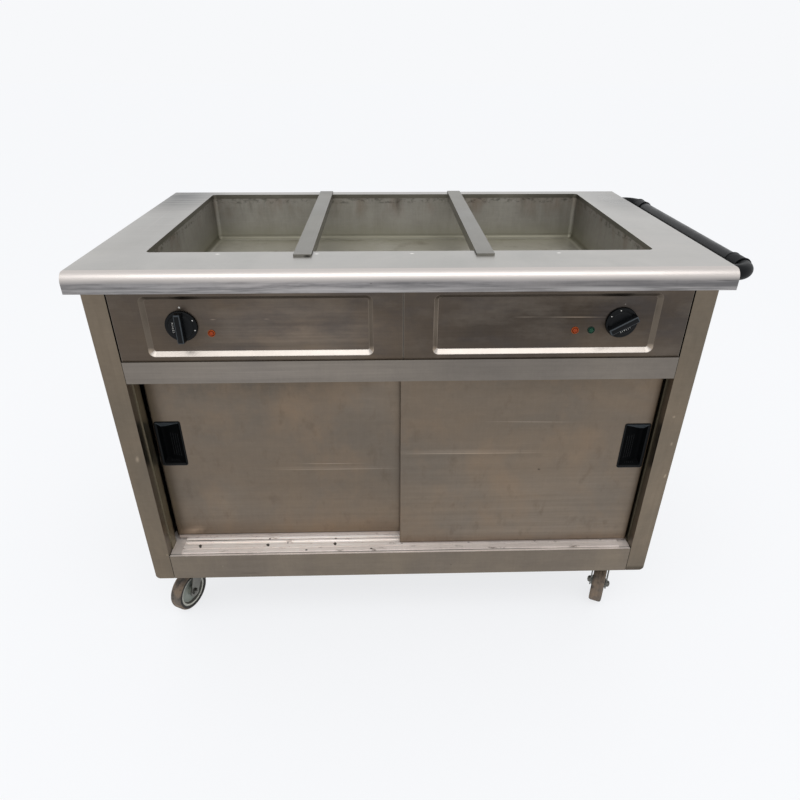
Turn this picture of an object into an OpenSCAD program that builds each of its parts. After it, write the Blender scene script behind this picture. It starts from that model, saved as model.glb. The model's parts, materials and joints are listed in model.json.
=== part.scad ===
// Hostess trolley: a stainless steel hot cupboard on castors with a three-bay
// bain-marie well in its top, two sliding doors, two thermostat knobs and a
// push handle on its right-hand end. Front is -Y, up is +Z, floor is z = 0.

/* [Worktop] */
// Width of the worktop, end to end
worktop_w = 1200; // [1160:10:1400]
// Depth of the worktop, front to back
worktop_d = 700; // [680:10:800]
// Height of the worktop above the floor
worktop_h = 900; // [880:5:950]
// How far the worktop stands out past the cabinet all round
overhang = 20; // [14:1:30]
// Thickness of the worktop sheet
top_sheet = 1.5; // [1:0.1:2.5]
// Height of the worktop's turned-down edge
edge_h = 39; // [36:1:46]
// Radius of the rounded front edge
bullnose_r = 20; // [8:1:24]
// Radius of the fold along the back edge and the two ends
fold_r = 3; // [2.6:0.2:5]
// Gap between the lip under the edge and the cabinet
lip_gap = 2; // [1:0.5:6]

/* [Well] */
// Width of the worktop strip at each end of the well
end_strip = 110; // [90:1:150]
// Width of the worktop strip in front of the well
front_strip = 124; // [110:1:130]
// Width of the worktop strip behind the well
back_strip = 35; // [33:1:60]
// Corner radius of the well opening
well_corner_r = 10; // [6:1:30]
// Height of the lip turned down round the opening
well_lip_h = 10; // [6:1:16]
// Depth of the well below the worktop
well_depth = 120; // [90:5:125]
// Thickness of the tank sheet
tank_sheet = 1.2; // [0.8:0.1:2]
// Width of the tank's top flange, under the worktop
tank_flange = 18; // [12:1:24]

/* [Divider bars] */
// Width of a divider bar
bar_w = 34; // [26:1:40]
// Thickness of the bar sheet
bar_sheet = 2; // [1.5:0.1:3]
// Height of the bar's underside above the worktop
bar_stand = 2; // [1:0.5:4]
// Depth of the bar's side flanges below the worktop
bar_drop = 16; // [8:1:24]
// How far a bar reaches over the strip in front of the well
bar_front_lap = 32; // [15:1:60]
// How far a bar reaches over the strip behind the well
bar_back_lap = 25; // [10:1:30]
// Gap between a bar's side flanges and the well's edges
bar_end_gap = 2; // [1:0.5:5]
// Centre of the left bar
bar_left_x = -188; // [-250:1:-100]
// Centre of the right bar
bar_right_x = 157; // [100:1:250]

/* [Cabinet] */
// Thickness of the cabinet's outer sheets
cabinet_sheet = 1.5; // [1:0.1:2]
// Height of the cabinet's lower edge above the floor
cabinet_bottom = 151; // [149:1:165]
// Width of the corner posts folded on the side panels
post_w = 43; // [36:1:50]
// Depth of the fold behind each post
post_return = 24; // [18:1:28]
// Radius of the side panels' lower corners
cabinet_corner_r = 10; // [6:1:12]
// Width of the side panels' top and bottom flanges
side_flange = 14; // [13:1:16]
// Width of the side panels' back flanges
back_flange = 30; // [20:1:40]
// Height of the plinth rail
plinth_h = 69; // [60:1:80]
// Height of the header rail above the doors
header_h = 46; // [40:1:60]
// How far the header rail stands in front of the posts
header_proud = 3; // [1:0.5:6]
// Depth of the shelf the doors run on, behind the plinth's face
sill_d = 86; // [84:1:95]

/* [Control panels] */
// Gap between the two control panels
panel_split = 1; // [0.5:0.1:3]
// Height of the control panels
panel_h = 171.5; // [166:0.5:180]
// Gap between a control panel's top edge and the worktop's underside
panel_top_gap = 8; // [4:1:14]
// Depth of the recess pressed in each panel
recess_depth = 8; // [5:0.5:10]
// Width of the recess's sloping border
recess_slope = 10; // [6:0.5:14]
// Flat margin beside the post
recess_side = 55; // [45:1:70]
// Flat margin beside the centre joint
recess_middle = 55; // [45:1:70]
// Flat margin under the recess
recess_low = 9; // [5:1:15]
// Flat margin between the recess and the worktop's edge
recess_high = 11; // [5:1:15]
// Corner radius of the recess
recess_corner_r = 13; // [11:1:20]
// Width of the fold along the panels' edges
panel_fold = 14; // [10:1:18]

/* [Knobs and lamps] */
// Distance of each knob's centre from the outer end of its recess
knob_inset = 69; // [45:1:80]
// Diameter of a knob's skirt
knob_d = 60; // [44:1:64]
// Thickness of the knob's skirt
skirt_t = 5; // [3:0.5:7]
// Height of the knob's grip over the panel
knob_h = 22; // [18:0.5:26]
// Width of the knob's grip
grip_w = 13; // [9:0.5:18]
// Gap between the knob and the panel
knob_gap = 0.8; // [0.5:0.1:1]
// How far the right knob is turned on from its off position
right_knob_turn = 240; // [0:5:300]
// Diameter of the thermostat spindles
spindle_d = 6; // [5:0.5:8]
// Radial running clearance round a spindle
spindle_clear = 0.05; // [0.02:0.01:0.1]
// Diameter of the thermostats' threaded bushes
bush_d = 10; // [10:0.5:13]
// Width of a thermostat's body
thermostat_w = 44; // [34:1:50]
// Depth of a thermostat's body
thermostat_d = 30; // [20:1:40]
// Diameter of a lamp's bezel
lamp_d = 14; // [13:0.5:18]
// Diameter of a lamp's body
lamp_body_d = 11.6; // [8:0.2:12]
// Distance of the lamps below the knobs' centres
lamp_low = 15.5; // [8:0.5:24]
// Distance from the left knob to its amber lamp
lamp_left_step = 53; // [48:1:90]
// Distance from the right knob to the green lamp
lamp_green_step = 55; // [48:1:60]
// Distance from the right knob to the amber lamp
lamp_amber_step = 86; // [80:1:120]

/* [Doors] */
// Gap between a closed door and the channel it closes against
door_end_gap = 3; // [1:0.5:6]
// Thickness of a door
door_t = 22; // [20:1:24]
// Thickness of the door sheets
door_sheet = 1.2; // [0.8:0.1:1.5]
// Radius of the door's upright front edges
door_edge_r = 4; // [2:0.5:5]
// Overlap of the two doors in the middle
door_overlap = 10; // [4:1:30]
// Distance of the front door behind the cabinet's face
door_set = 27; // [26:0.5:29]
// Distance from the front door's face to the rear door's face
door_pitch = 31; // [29:0.5:33]
// Gap between a door's lower edge and the track
door_lift = 1.5; // [1:0.1:3]
// How far a door reaches up behind the header rail
door_tuck = 11; // [8:1:13]
// Thickness of the nylon guides on the doors' upper edges
guide_t = 10; // [7:0.5:12]
// Length of a nylon guide
guide_l = 80; // [40:5:120]
// Height of an upper guide above the door
guide_h = 24; // [20:1:26]
// Sideways clearance of a guide in its groove
guide_clear = 1; // [0.4:0.1:1.5]
// Width of a lower shoe
shoe_t = 8; // [5:0.5:10]
// Gap between a lower shoe and the bottom of its groove
shoe_gap = 0.3; // [0.2:0.1:0.4]

/* [Door pulls] */
// Width of a door pull's flange
pull_w = 56; // [48:1:60]
// Height of a door pull's flange
pull_h = 114; // [90:1:130]
// Thickness of the flange on the door
pull_flange_t = 1.5; // [1:0.1:2.5]
// Width of the flange round the cup
pull_rim = 3; // [2:0.5:5]
// Depth of the finger recess
pull_depth = 15; // [10:0.5:17]
// Distance of the pull's centre from the door's outer edge
pull_inset = 32; // [31:1:60]
// Distance of the pull's centre below the worktop
pull_drop = 407; // [380:1:420]

/* [Door tracks] */
// Height of the bottom track
track_t = 3; // [2.4:0.1:4]
// Distance from each end of the bottom track to the post
track_end = 25; // [2:1:60]
// Setback of the bottom track behind the cabinet's face
track_set = 8; // [4:1:12]
// Wall thickness of the top track
track_wall = 2; // [1.5:0.1:2.5]
// Distance between the track's rivets
rivet_pitch = 158; // [100:1:170]
// Diameter of a rivet's head
rivet_head_d = 7; // [5:0.5:8]
// Height of a rivet's head
rivet_head_h = 0.8; // [0.4:0.1:0.9]
// Width of the side channels that the doors close against
channel_w = 12; // [8:1:14]
// How far the side channels stand out past the posts
channel_proud = 1; // [0.5:0.5:2]
// How far the side channels reach up behind the header rail
channel_tuck = 25; // [10:1:40]
// Depth of the side channels
channel_d = 26; // [18:1:27]

/* [Inside] */
// Thickness of the liner sheets
liner_sheet = 1.2; // [0.8:0.1:1.5]
// Space between each outer side and its liner
side_cavity = 32; // [26:1:40]
// Space between the back panel and the back liner
back_cavity = 28; // [20:1:40]
// Space for the elements between the tank and the cupboard's ceiling
element_space = 34; // [20:1:36]
// Diameter of the heating elements
element_d = 8; // [6:0.5:12]
// Distance from the well's ends to the element under it
well_element_end = 110; // [80:5:160]
// Distance from the well's sides to the element under it
well_element_side = 105; // [60:5:140]
// Distance from the cupboard's sides to its element
cupboard_element_end = 128; // [60:2:200]
// Distance from the cupboard's back to its element
cupboard_element_back = 30; // [20:1:60]
// Distance between the two runs of the cupboard's element
element_span = 40; // [30:1:60]
// Height of the shelf above the cupboard floor
shelf_rise = 220; // [150:5:300]
// Depth of the shelf's turned-down edges
shelf_edge = 16; // [10:1:25]
// Gap round the shelf
shelf_gap = 3; // [1:0.5:8]
// Distance from the shelf's front and back to its brackets
bracket_inset = 75; // [40:5:150]
// Diameter of the cable gland's body
gland_d = 20; // [16:1:25]
// Distance of the cable gland from the cabinet's side
gland_inset = 130; // [60:5:300]
// Height of the cable gland above the cupboard floor
gland_rise = 40; // [30:5:100]

/* [Castors] */
// Diameter of a castor wheel
wheel_d = 100; // [80:5:104]
// Width of a castor wheel
wheel_w = 30; // [24:1:36]
// Thickness of the rubber tyre
tyre_t = 10; // [6:1:14]
// Distance from the swivel axis to the wheel's centre
castor_trail = 36; // [26:1:42]
// Height of a castor, floor to mounting plate
castor_h = 138; // [130:1:147]
// Direction the wheels trail in, from straight forward
castor_heading = 25; // [0:5:45]
// Distance of a swivel axis from the cabinet's side
castor_inset_x = 56.5; // [56.5:0.5:80]
// Distance of a swivel axis from the cabinet's front or back
castor_inset_y = 95; // [85:1:140]
// Diameter of the wheel axle
axle_d = 10; // [8:0.5:12]
// Radial running clearance on the axle and the king pin
castor_clear = 0.05; // [0.02:0.01:0.1]
// Thickness of a fork leg
fork_t = 3; // [2:0.5:4]
// Length of a castor plate, front to back
plate_l = 105; // [100:1:115]
// Width of a castor plate
plate_w = 84; // [78:1:90]
// Bolt spacing along a castor plate
bolt_y = 80; // [76:1:84]
// Bolt spacing across a castor plate
bolt_x = 60; // [54:1:60]
// Diameter of the castor bolts
bolt_d = 8; // [6:1:8]

/* [Push handle] */
// Diameter of the handle's tube
grip_d = 30; // [24:1:32]
// Distance from the worktop's end to the tube's centre
handle_out = 48; // [42:1:60]
// Distance of the tube's centre below the worktop
handle_drop = 22; // [21:0.5:24]
// Distance of each bracket's leg in from the worktop's corner
handle_inset = 50; // [45:1:130]
// Bend radius of the brackets
elbow_r = 30; // [20:1:34]
// Length of the collar past the bend
collar_l = 42; // [25:1:60]
// Wall of the collar round the tube
collar_wall = 2; // [1.5:0.5:2]
// Wall thickness of the tube
tube_wall = 2; // [1:0.5:3]
// Radial clearance of the tube in its collars
tube_clear = 0.05; // [0.02:0.01:0.2]
// Distance of the handle's screws from the bracket's centre
screw_y = 24; // [23:1:27]
// Diameter of the handle's screws
screw_d = 6; // [4:0.5:7]

/* [Hidden] */
$fn = 64;
// Amount by which a cut runs past the face it opens
past = 1;

// The worktop and the cabinet
worktop_under = worktop_h - top_sheet;
edge_bottom = worktop_h - edge_h;
cabinet_half_w = worktop_w / 2 - overhang;
cabinet_front = -worktop_d / 2 + overhang;
cabinet_back = worktop_d / 2 - overhang;
post_inner = cabinet_half_w - post_w;
return_back = cabinet_front + post_return;
sill_back = cabinet_front + sill_d;

// The well
well_front = -worktop_d / 2 + front_strip;
well_back = worktop_d / 2 - back_strip;
well_mid_y = (well_front + well_back) / 2;
well_w = worktop_w - 2 * end_strip;
well_d = well_back - well_front;
tank_floor = worktop_h - well_depth;
tank_under = tank_floor - tank_sheet;

// Heights of the front
sill_top = cabinet_bottom + plinth_h;
panel_top = worktop_under - panel_top_gap;
header_top = panel_top - panel_h;
header_low = header_top - header_h;
ceiling_z = tank_under - element_space;

// The doors
channel_x = post_inner - channel_proud;
track_top = sill_top + track_t;
door_low = track_top + door_lift;
door_top = header_low + door_tuck;
front_door_y = cabinet_front + door_set;
rear_door_y = front_door_y + door_pitch;
door_w = channel_x - door_end_gap + door_overlap / 2;
pull_z = worktop_h - pull_drop;
guide_groove_w = guide_t + 2 * guide_clear;
shoe_groove_w = shoe_t + 2 * shoe_gap;
shoe_groove_depth = track_t - 1;
track_half = post_inner - track_end;
cup_w = pull_w - 2 * pull_rim;
cup_h = pull_h - 2 * pull_rim;
cup_wall = 1.8;

// The pressed recess and what stands in it
recess_floor = cabinet_front + recess_depth;
recess_x = [panel_split / 2 + recess_middle, post_inner - recess_side];
recess_z = [header_top + recess_low, edge_bottom - recess_high];
knob_x = recess_x[1] - knob_inset;
knob_z = (recess_z[0] + recess_z[1]) / 2;
lamp_z = knob_z - lamp_low;
lamp_left_x = lamp_left_step - knob_x;
lamp_green_x = knob_x - lamp_green_step;
lamp_amber_x = knob_x - lamp_amber_step;
bush_clear = 0.5;
lamp_clear = 0.2;

// The inside
liner_x = cabinet_half_w - side_cavity;
liner_y = cabinet_back - back_cavity;
channel_back = return_back + channel_d;
channel_gap = 0.2;
shelf_z = sill_top + shelf_rise;
shelf_front = rear_door_y + door_t + 2 * shelf_gap;
shelf_back = liner_y - shelf_gap;
element_gap = 0.2;

// The castors
castor_x = cabinet_half_w - castor_inset_x;
castor_y = cabinet_back - castor_inset_y;
plate_t = 4;
race_r = 30;
race_t = 8;
race_gap = 0.5;
crown_t = 12;
king_pin_r = 6;
crown_top = castor_h - plate_t - race_t - race_gap;
crown_low = crown_top - crown_t;
fork_gap = 2.5;
hub_gap = 0.5;
bearer_half_w = 40;
bearer_wall = 3;
bolt_clear = 0.25;

// The push handle
handle_x = worktop_w / 2 + handle_out;
handle_z = worktop_h - handle_drop;
tube_r = grip_d / 2;
collar_r = tube_r + collar_wall;
leg_r = tube_r;
flange_t = 5;
collar_grip = 30;
screw_clear = 0.2;
handle_half = worktop_d / 2 - handle_inset;
collar_end_y = handle_half - elbow_r - collar_l;
handle_reach = handle_out + collar_r;

steel = [0.72, 0.71, 0.69];
warm_steel = [0.52, 0.48, 0.43];
dark_steel = [0.42, 0.39, 0.35];
zinc = [0.62, 0.63, 0.62];
black_plastic = [0.06, 0.06, 0.07];

// Everything is drawn about the worktop's middle and then moved so that the
// origin is under the middle of the whole trolley, push handle included.
module placed() {
    translate([-handle_reach / 2, 0, 0]) children();
}

module left_hand() {
    mirror([1, 0, 0]) children();
}

// Box given by its lowest and highest value along each axis
module slab(x, y, z) {
    translate([x[0], y[0], z[0]]) cube([x[1] - x[0], y[1] - y[0], z[1] - z[0]]);
}

// Rectangle with round corners, centred
module rounded_rect(w, h, r) {
    square([w - 2 * r, h], center = true);
    square([w, h - 2 * r], center = true);
    for (sx = [-1, 1], sy = [-1, 1])
        translate([sx * (w / 2 - r), sy * (h / 2 - r)]) circle(r);
}

// Turns a drawing in X and Z into a plate that grows from y towards the front
module front_plate(y, t) {
    translate([0, y, 0]) rotate([90, 0, 0]) linear_extrude(t) children();
}

// Puts a turned part on the floor of the pressed recess, its axis facing forward
module on_panel(x, z) {
    translate([x, recess_floor, z]) rotate([90, 0, 0]) children();
}

// ---- Worktop and well ----

// Section of the worktop from front to back, drawn in Y and Z
module worktop_section(inset, low) {
    front = -worktop_d / 2 + inset;
    back = worktop_d / 2 - inset;
    high = worktop_h - inset;
    nose = bullnose_r - inset;
    fold = fold_r - inset;
    translate([front, low]) square([back - front, high - nose - low]);
    translate([front + nose, low]) square([back - fold - front - nose, high - low]);
    translate([front + nose, low]) square([back - front - nose, high - fold - low]);
    translate([front + nose, high - nose]) circle(nose);
    translate([back - fold, high - fold]) circle(fold);
}

// Section of the worktop from end to end, drawn in X and Z
module worktop_end_section(inset, low) {
    half = worktop_w / 2 - inset;
    high = worktop_h - inset;
    fold = fold_r - inset;
    translate([-half, low]) square([2 * half, high - fold - low]);
    translate([-half + fold, low]) square([2 * (half - fold), high - low]);
    for (side = [-1, 1])
        translate([side * (half - fold), high - fold]) circle(fold);
}

module worktop_form(inset, low) {
    intersection() {
        translate([-worktop_w / 2, 0, 0]) rotate([90, 0, 90])
            linear_extrude(worktop_w) worktop_section(inset, low);
        front_plate(worktop_d / 2, worktop_d) worktop_end_section(inset, low);
    }
}

module well_hole(grow, low, high) {
    translate([0, well_mid_y, low]) linear_extrude(high - low)
        rounded_rect(well_w + 2 * grow, well_d + 2 * grow, well_corner_r + grow);
}

module handle_screw_places() {
    for (side = [-1, 1], step = [-1, 1])
        translate([worktop_w / 2, side * handle_half + step * screw_y, handle_z])
            rotate([0, 90, 0]) children();
}

module worktop() {
    lip_inner_x = cabinet_half_w + lip_gap;
    lip_inner_y = worktop_d / 2 - overhang + lip_gap;
    color(steel) placed() difference() {
        union() {
            difference() {
                worktop_form(0, edge_bottom);
                worktop_form(top_sheet, edge_bottom + top_sheet);
                slab([-lip_inner_x, lip_inner_x], [-lip_inner_y, lip_inner_y],
                     [edge_bottom - past, edge_bottom + top_sheet + past]);
            }
            well_hole(top_sheet, worktop_h - well_lip_h, worktop_h);
        }
        well_hole(0, worktop_h - well_lip_h - past, worktop_h + past);
        handle_screw_places() translate([0, 0, -top_sheet - past])
            cylinder(d = screw_d + 2 * screw_clear, h = top_sheet + 2 * past);
    }
}

module well_tank() {
    color(steel) placed() difference() {
        union() {
            well_hole(top_sheet + tank_sheet, tank_under, worktop_under);
            well_hole(top_sheet + tank_flange, worktop_under - tank_sheet, worktop_under);
        }
        well_hole(top_sheet, tank_floor, worktop_under + past);
    }
}

// Tubular element in flat zigzag under the tank
module well_element() {
    $fn = 32;
    passes = 4;
    spread = well_d - 2 * well_element_side;
    pitch = spread / (passes - 1);
    run = well_w / 2 - well_element_end;
    tail = 60;
    color("dimgray") placed()
        translate([0, well_mid_y, tank_under - element_gap - element_d / 2]) {
            for (i = [0 : passes - 1])
                translate([-run - (i == 0 || i == passes - 1 ? tail : 0), -spread / 2 + i * pitch, 0])
                    rotate([0, 90, 0])
                        cylinder(d = element_d, h = 2 * run + (i == 0 || i == passes - 1 ? tail : 0));
            for (i = [0 : passes - 2])
                translate([i % 2 == 0 ? run : -run, -spread / 2 + (i + 0.5) * pitch, 0])
                    rotate([0, 0, i % 2 == 0 ? -90 : 90])
                        rotate_extrude(angle = 180) translate([pitch / 2, 0]) circle(d = element_d);
        }
}

// Ceiling of the cupboard, folded down at the front behind the doors
module ceiling_pan() {
    color(dark_steel) placed() {
        front = sill_back - liner_sheet;
        slab([-liner_x, liner_x], [front, liner_y], [ceiling_z - liner_sheet, ceiling_z]);
        slab([-post_inner, post_inner], [front, sill_back], [header_top, ceiling_z]);
    }
}

// ---- Divider bars ----

module divider_bar(x) {
    front = well_front - bar_front_lap;
    back = well_back + bar_back_lap;
    web_low = worktop_h + bar_stand;
    web_top = web_low + bar_sheet;
    flange_y = [well_front + bar_end_gap, well_back - bar_end_gap];
    half = bar_w / 2;
    color(zinc) placed() translate([x, 0, 0]) {
        slab([-half, half], [front, back], [web_low, web_top]);
        for (side = [-1, 1])
            slab(side > 0 ? [half - bar_sheet, half] : [-half, -half + bar_sheet],
                 flange_y, [worktop_h - bar_drop, web_top]);
        for (y = [front, back - bar_sheet])
            slab([-half, half], [y, y + bar_sheet], [worktop_h, web_top]);
    }
}

module divider_bar_left() { divider_bar(bar_left_x); }
module divider_bar_right() { divider_bar(bar_right_x); }

// ---- Cabinet shell ----

// Outline of a side panel's edge, drawn in X and Z, round at the lower outside corner
module side_outline(width, inset) {
    low = cabinet_bottom + inset;
    high = worktop_under - inset;
    r = cabinet_corner_r - inset;
    outer = cabinet_half_w - inset;
    inner = cabinet_half_w - width;
    translate([inner, low + r]) square([outer - inner, high - low - r]);
    intersection() {
        union() {
            translate([inner, low]) square([outer - r - inner, r + past]);
            translate([outer - r, low + r]) circle(r);
        }
        translate([inner, low]) square([outer - inner, 2 * r]);
    }
}

module side_panel() {
    depth = cabinet_back - cabinet_front;
    color(warm_steel) {
        difference() {
            front_plate(cabinet_back, depth) side_outline(side_flange, 0);
            front_plate(cabinet_back - cabinet_sheet, depth - 2 * cabinet_sheet)
                side_outline(side_flange + past, cabinet_sheet);
        }
        front_plate(cabinet_front + cabinet_sheet, cabinet_sheet) side_outline(post_w, 0);
        front_plate(cabinet_back, cabinet_sheet) side_outline(back_flange, 0);
        slab([post_inner, post_inner + cabinet_sheet], [cabinet_front, return_back],
             [cabinet_bottom, worktop_under]);
    }
}

module side_panel_left() { placed() left_hand() side_panel(); }
module side_panel_right() { placed() side_panel(); }

module back_panel() {
    x = cabinet_half_w - cabinet_sheet;
    y = cabinet_back - cabinet_sheet;
    color(warm_steel) placed() difference() {
        slab([-x, x], [y - cabinet_sheet, y],
             [cabinet_bottom + cabinet_corner_r, worktop_under - cabinet_sheet]);
        gland_place() translate([0, 0, -past - 3 * cabinet_sheet])
            cylinder(d = gland_d + 2 * bush_clear, h = 4 * cabinet_sheet + 2 * past);
    }
}

module header_rail() {
    face = cabinet_front - header_proud;
    color(warm_steel) placed() {
        slab([-post_inner, post_inner], [face, face + cabinet_sheet], [header_low, header_top]);
        slab([-post_inner, post_inner], [face, front_door_y - 5],
             [header_low, header_low + cabinet_sheet]);
        slab([-post_inner, post_inner], [face, sill_back],
             [header_top - cabinet_sheet, header_top]);
    }
}

module plinth_rail() {
    wide = cabinet_half_w - cabinet_sheet - channel_gap;
    stiffener_w = castor_x - bearer_half_w - 12;
    stiffener_h = 24;
    toe_d = 20;
    color(warm_steel) placed() difference() {
        union() {
            slab([-post_inner, post_inner], [cabinet_front, cabinet_front + cabinet_sheet],
                 [cabinet_bottom, sill_top]);
            slab([-post_inner, post_inner], [cabinet_front, cabinet_front + toe_d],
                 [cabinet_bottom, cabinet_bottom + cabinet_sheet]);
            slab([-post_inner, post_inner], [cabinet_front, sill_back],
                 [sill_top - cabinet_sheet, sill_top]);
            slab([-wide, wide], [return_back + channel_gap, sill_back],
                 [sill_top - cabinet_sheet, sill_top]);
            slab([-stiffener_w, stiffener_w], [sill_back - cabinet_sheet, sill_back],
                 [sill_top - stiffener_h, sill_top]);
        }
        rivet_places() translate([0, 0, -cabinet_sheet - past])
            cylinder(d = rivet_hole_d, h = cabinet_sheet + 2 * past);
    }
}

module base_pan() {
    x = cabinet_half_w - cabinet_sheet - channel_gap;
    back = cabinet_back - 2 * cabinet_sheet;
    stiffener_w = castor_x - bearer_half_w - 12;
    stiffener_h = 24;
    color(dark_steel) placed() {
        slab([-x, x], [sill_back, back], [sill_top - cabinet_sheet, sill_top]);
        slab([-stiffener_w, stiffener_w], [back - cabinet_sheet, back],
             [sill_top - stiffener_h, sill_top]);
    }
}

// Two channels from front to back under the floor, which the castors bolt to
module chassis_bearers() {
    low = castor_h;
    high = sill_top - cabinet_sheet;
    end = castor_y + plate_l / 2 + 10;
    color(zinc) placed() for (side = [-1, 1]) difference() {
        translate([side * castor_x, 0, 0]) difference() {
            slab([-bearer_half_w, bearer_half_w], [-end, end], [low, high]);
            slab([-bearer_half_w + bearer_wall, bearer_half_w - bearer_wall],
                 [-end - past, end + past], [low + bearer_wall, high + past]);
        }
        castor_bolt_places() cylinder(d = bolt_d + 2 * bolt_clear, h = 2 * bearer_wall + past);
    }
}

// ---- Cupboard interior ----

module liner_side() {
    color(dark_steel)
        slab([liner_x, liner_x + liner_sheet], [channel_back, liner_y + liner_sheet],
             [sill_top, ceiling_z]);
}

module liner_left() { placed() left_hand() liner_side(); }
module liner_right() { placed() liner_side(); }

module liner_back() {
    color(dark_steel) placed()
        slab([-liner_x, liner_x], [liner_y, liner_y + liner_sheet], [sill_top, ceiling_z]);
}

module shelf() {
    x = liner_x - shelf_gap;
    color(steel) placed() {
        slab([-x, x], [shelf_front, shelf_back], [shelf_z, shelf_z + liner_sheet]);
        for (y = [shelf_front, shelf_back - liner_sheet])
            slab([-x, x], [y, y + liner_sheet], [shelf_z - shelf_edge, shelf_z + liner_sheet]);
    }
}

module shelf_brackets() {
    reach = 22;
    length = 60;
    leg = 30;
    thick = 2;
    color(zinc) placed() for (side = [0, 1], y = [shelf_front + bracket_inset, shelf_back - bracket_inset])
        mirror([side, 0, 0]) translate([0, y, 0]) {
            slab([liner_x - reach, liner_x], [-length / 2, length / 2], [shelf_z - thick, shelf_z]);
            slab([liner_x - thick, liner_x], [-length / 2, length / 2], [shelf_z - leg, shelf_z]);
        }
}

// Hairpin element along the back of the cupboard floor, on three feet
module cupboard_element() {
    $fn = 32;
    span = element_span;
    run = liner_x - cupboard_element_end;
    rise = 24;
    foot_t = 3;
    y = liner_y - cupboard_element_back - span / 2;
    color("dimgray") placed() translate([0, y, sill_top]) {
        for (side = [-1, 1])
            translate([-run, side * span / 2, rise]) rotate([0, 90, 0])
                cylinder(d = element_d, h = 2 * run);
        translate([run, 0, rise]) rotate([0, 0, -90])
            rotate_extrude(angle = 180) translate([span / 2, 0]) circle(d = element_d);
        for (x = [-run + 20, 0, run - 20])
            slab([x, x + foot_t], [-span / 2 - element_d, span / 2 + element_d], [0, rise + element_d]);
    }
}

// Cable entry low on the back
module gland_place() {
    translate([cabinet_half_w - gland_inset, cabinet_back - cabinet_sheet, sill_top + gland_rise])
        rotate([-90, 0, 0]) children();
}

module cable_gland() {
    nut_d = gland_d + 8;
    dome_d = gland_d + 2;
    bore_d = gland_d / 2;
    color(black_plastic) placed() gland_place() difference() {
        union() {
            translate([0, 0, -cabinet_sheet - 6]) cylinder(d = nut_d, h = 6, $fn = 6);
            translate([0, 0, -cabinet_sheet - 8]) cylinder(d = gland_d, h = cabinet_sheet + 9);
            cylinder(d = nut_d, h = 6, $fn = 6);
            translate([0, 0, 6]) cylinder(d1 = dome_d, d2 = gland_d - 4, h = 9);
        }
        translate([0, 0, -cabinet_sheet - 9]) cylinder(d = bore_d, h = cabinet_sheet + 26);
    }
}

// ---- Control panels ----

// The pressed form of the recess, drawn for the right-hand panel
module pressing(grow, depth) {
    mid_x = (recess_x[0] + recess_x[1]) / 2;
    mid_z = (recess_z[0] + recess_z[1]) / 2;
    w = recess_x[1] - recess_x[0] + 2 * grow;
    h = recess_z[1] - recess_z[0] + 2 * grow;
    skin = 0.01;
    translate([mid_x, 0, mid_z]) hull() {
        front_plate(cabinet_front, skin) rounded_rect(w, h, recess_corner_r, $fn = 32);
        front_plate(cabinet_front + depth, skin)
            rounded_rect(w - 2 * recess_slope, h - 2 * recess_slope,
                         recess_corner_r - recess_slope, $fn = 32);
    }
}

module control_panel() {
    x = [panel_split / 2, post_inner];
    difference() {
        union() {
            slab(x, [cabinet_front, cabinet_front + cabinet_sheet], [header_top, panel_top]);
            pressing(cabinet_sheet, recess_depth + cabinet_sheet);
            slab(x, [cabinet_front, cabinet_front + panel_fold],
                 [header_top, header_top + cabinet_sheet]);
            slab(x, [cabinet_front, cabinet_front + panel_fold],
                 [panel_top - cabinet_sheet, panel_top]);
            slab([x[0], x[0] + cabinet_sheet], [cabinet_front, cabinet_front + panel_fold],
                 [header_top, panel_top]);
        }
        pressing(0, recess_depth);
        slab([x[0], x[1]], [cabinet_front - past, cabinet_front], [header_top, panel_top]);
        on_panel(knob_x, knob_z) translate([0, 0, -cabinet_sheet - past])
            cylinder(d = bush_d + 2 * bush_clear, h = cabinet_sheet + 2 * past);
        children();
    }
}

module lamp_hole(x) {
    on_panel(x, lamp_z) translate([0, 0, -cabinet_sheet - past])
        cylinder(d = lamp_body_d + 2 * lamp_clear, h = cabinet_sheet + 2 * past);
}

module control_panel_left() {
    color(dark_steel) placed() left_hand() control_panel() lamp_hole(-lamp_left_x);
}

module control_panel_right() {
    color(dark_steel) placed() control_panel() {
        lamp_hole(lamp_amber_x);
        lamp_hole(lamp_green_x);
    }
}

module thermostat(x) {
    bush_front = 0.4;
    bore_depth = 14;
    half = thermostat_w / 2;
    color("gainsboro") placed() on_panel(x, knob_z) difference() {
        union() {
            slab([-half, half], [-half, half], [-cabinet_sheet - thermostat_d, -cabinet_sheet]);
            translate([0, 0, -cabinet_sheet - past])
                cylinder(d = bush_d, h = cabinet_sheet + past + bush_front);
        }
        translate([0, 0, -bore_depth])
            cylinder(d = spindle_d + 2 * spindle_clear, h = bore_depth + past);
    }
}

module thermostat_left() { thermostat(-knob_x); }
module thermostat_right() { thermostat(knob_x); }

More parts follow.
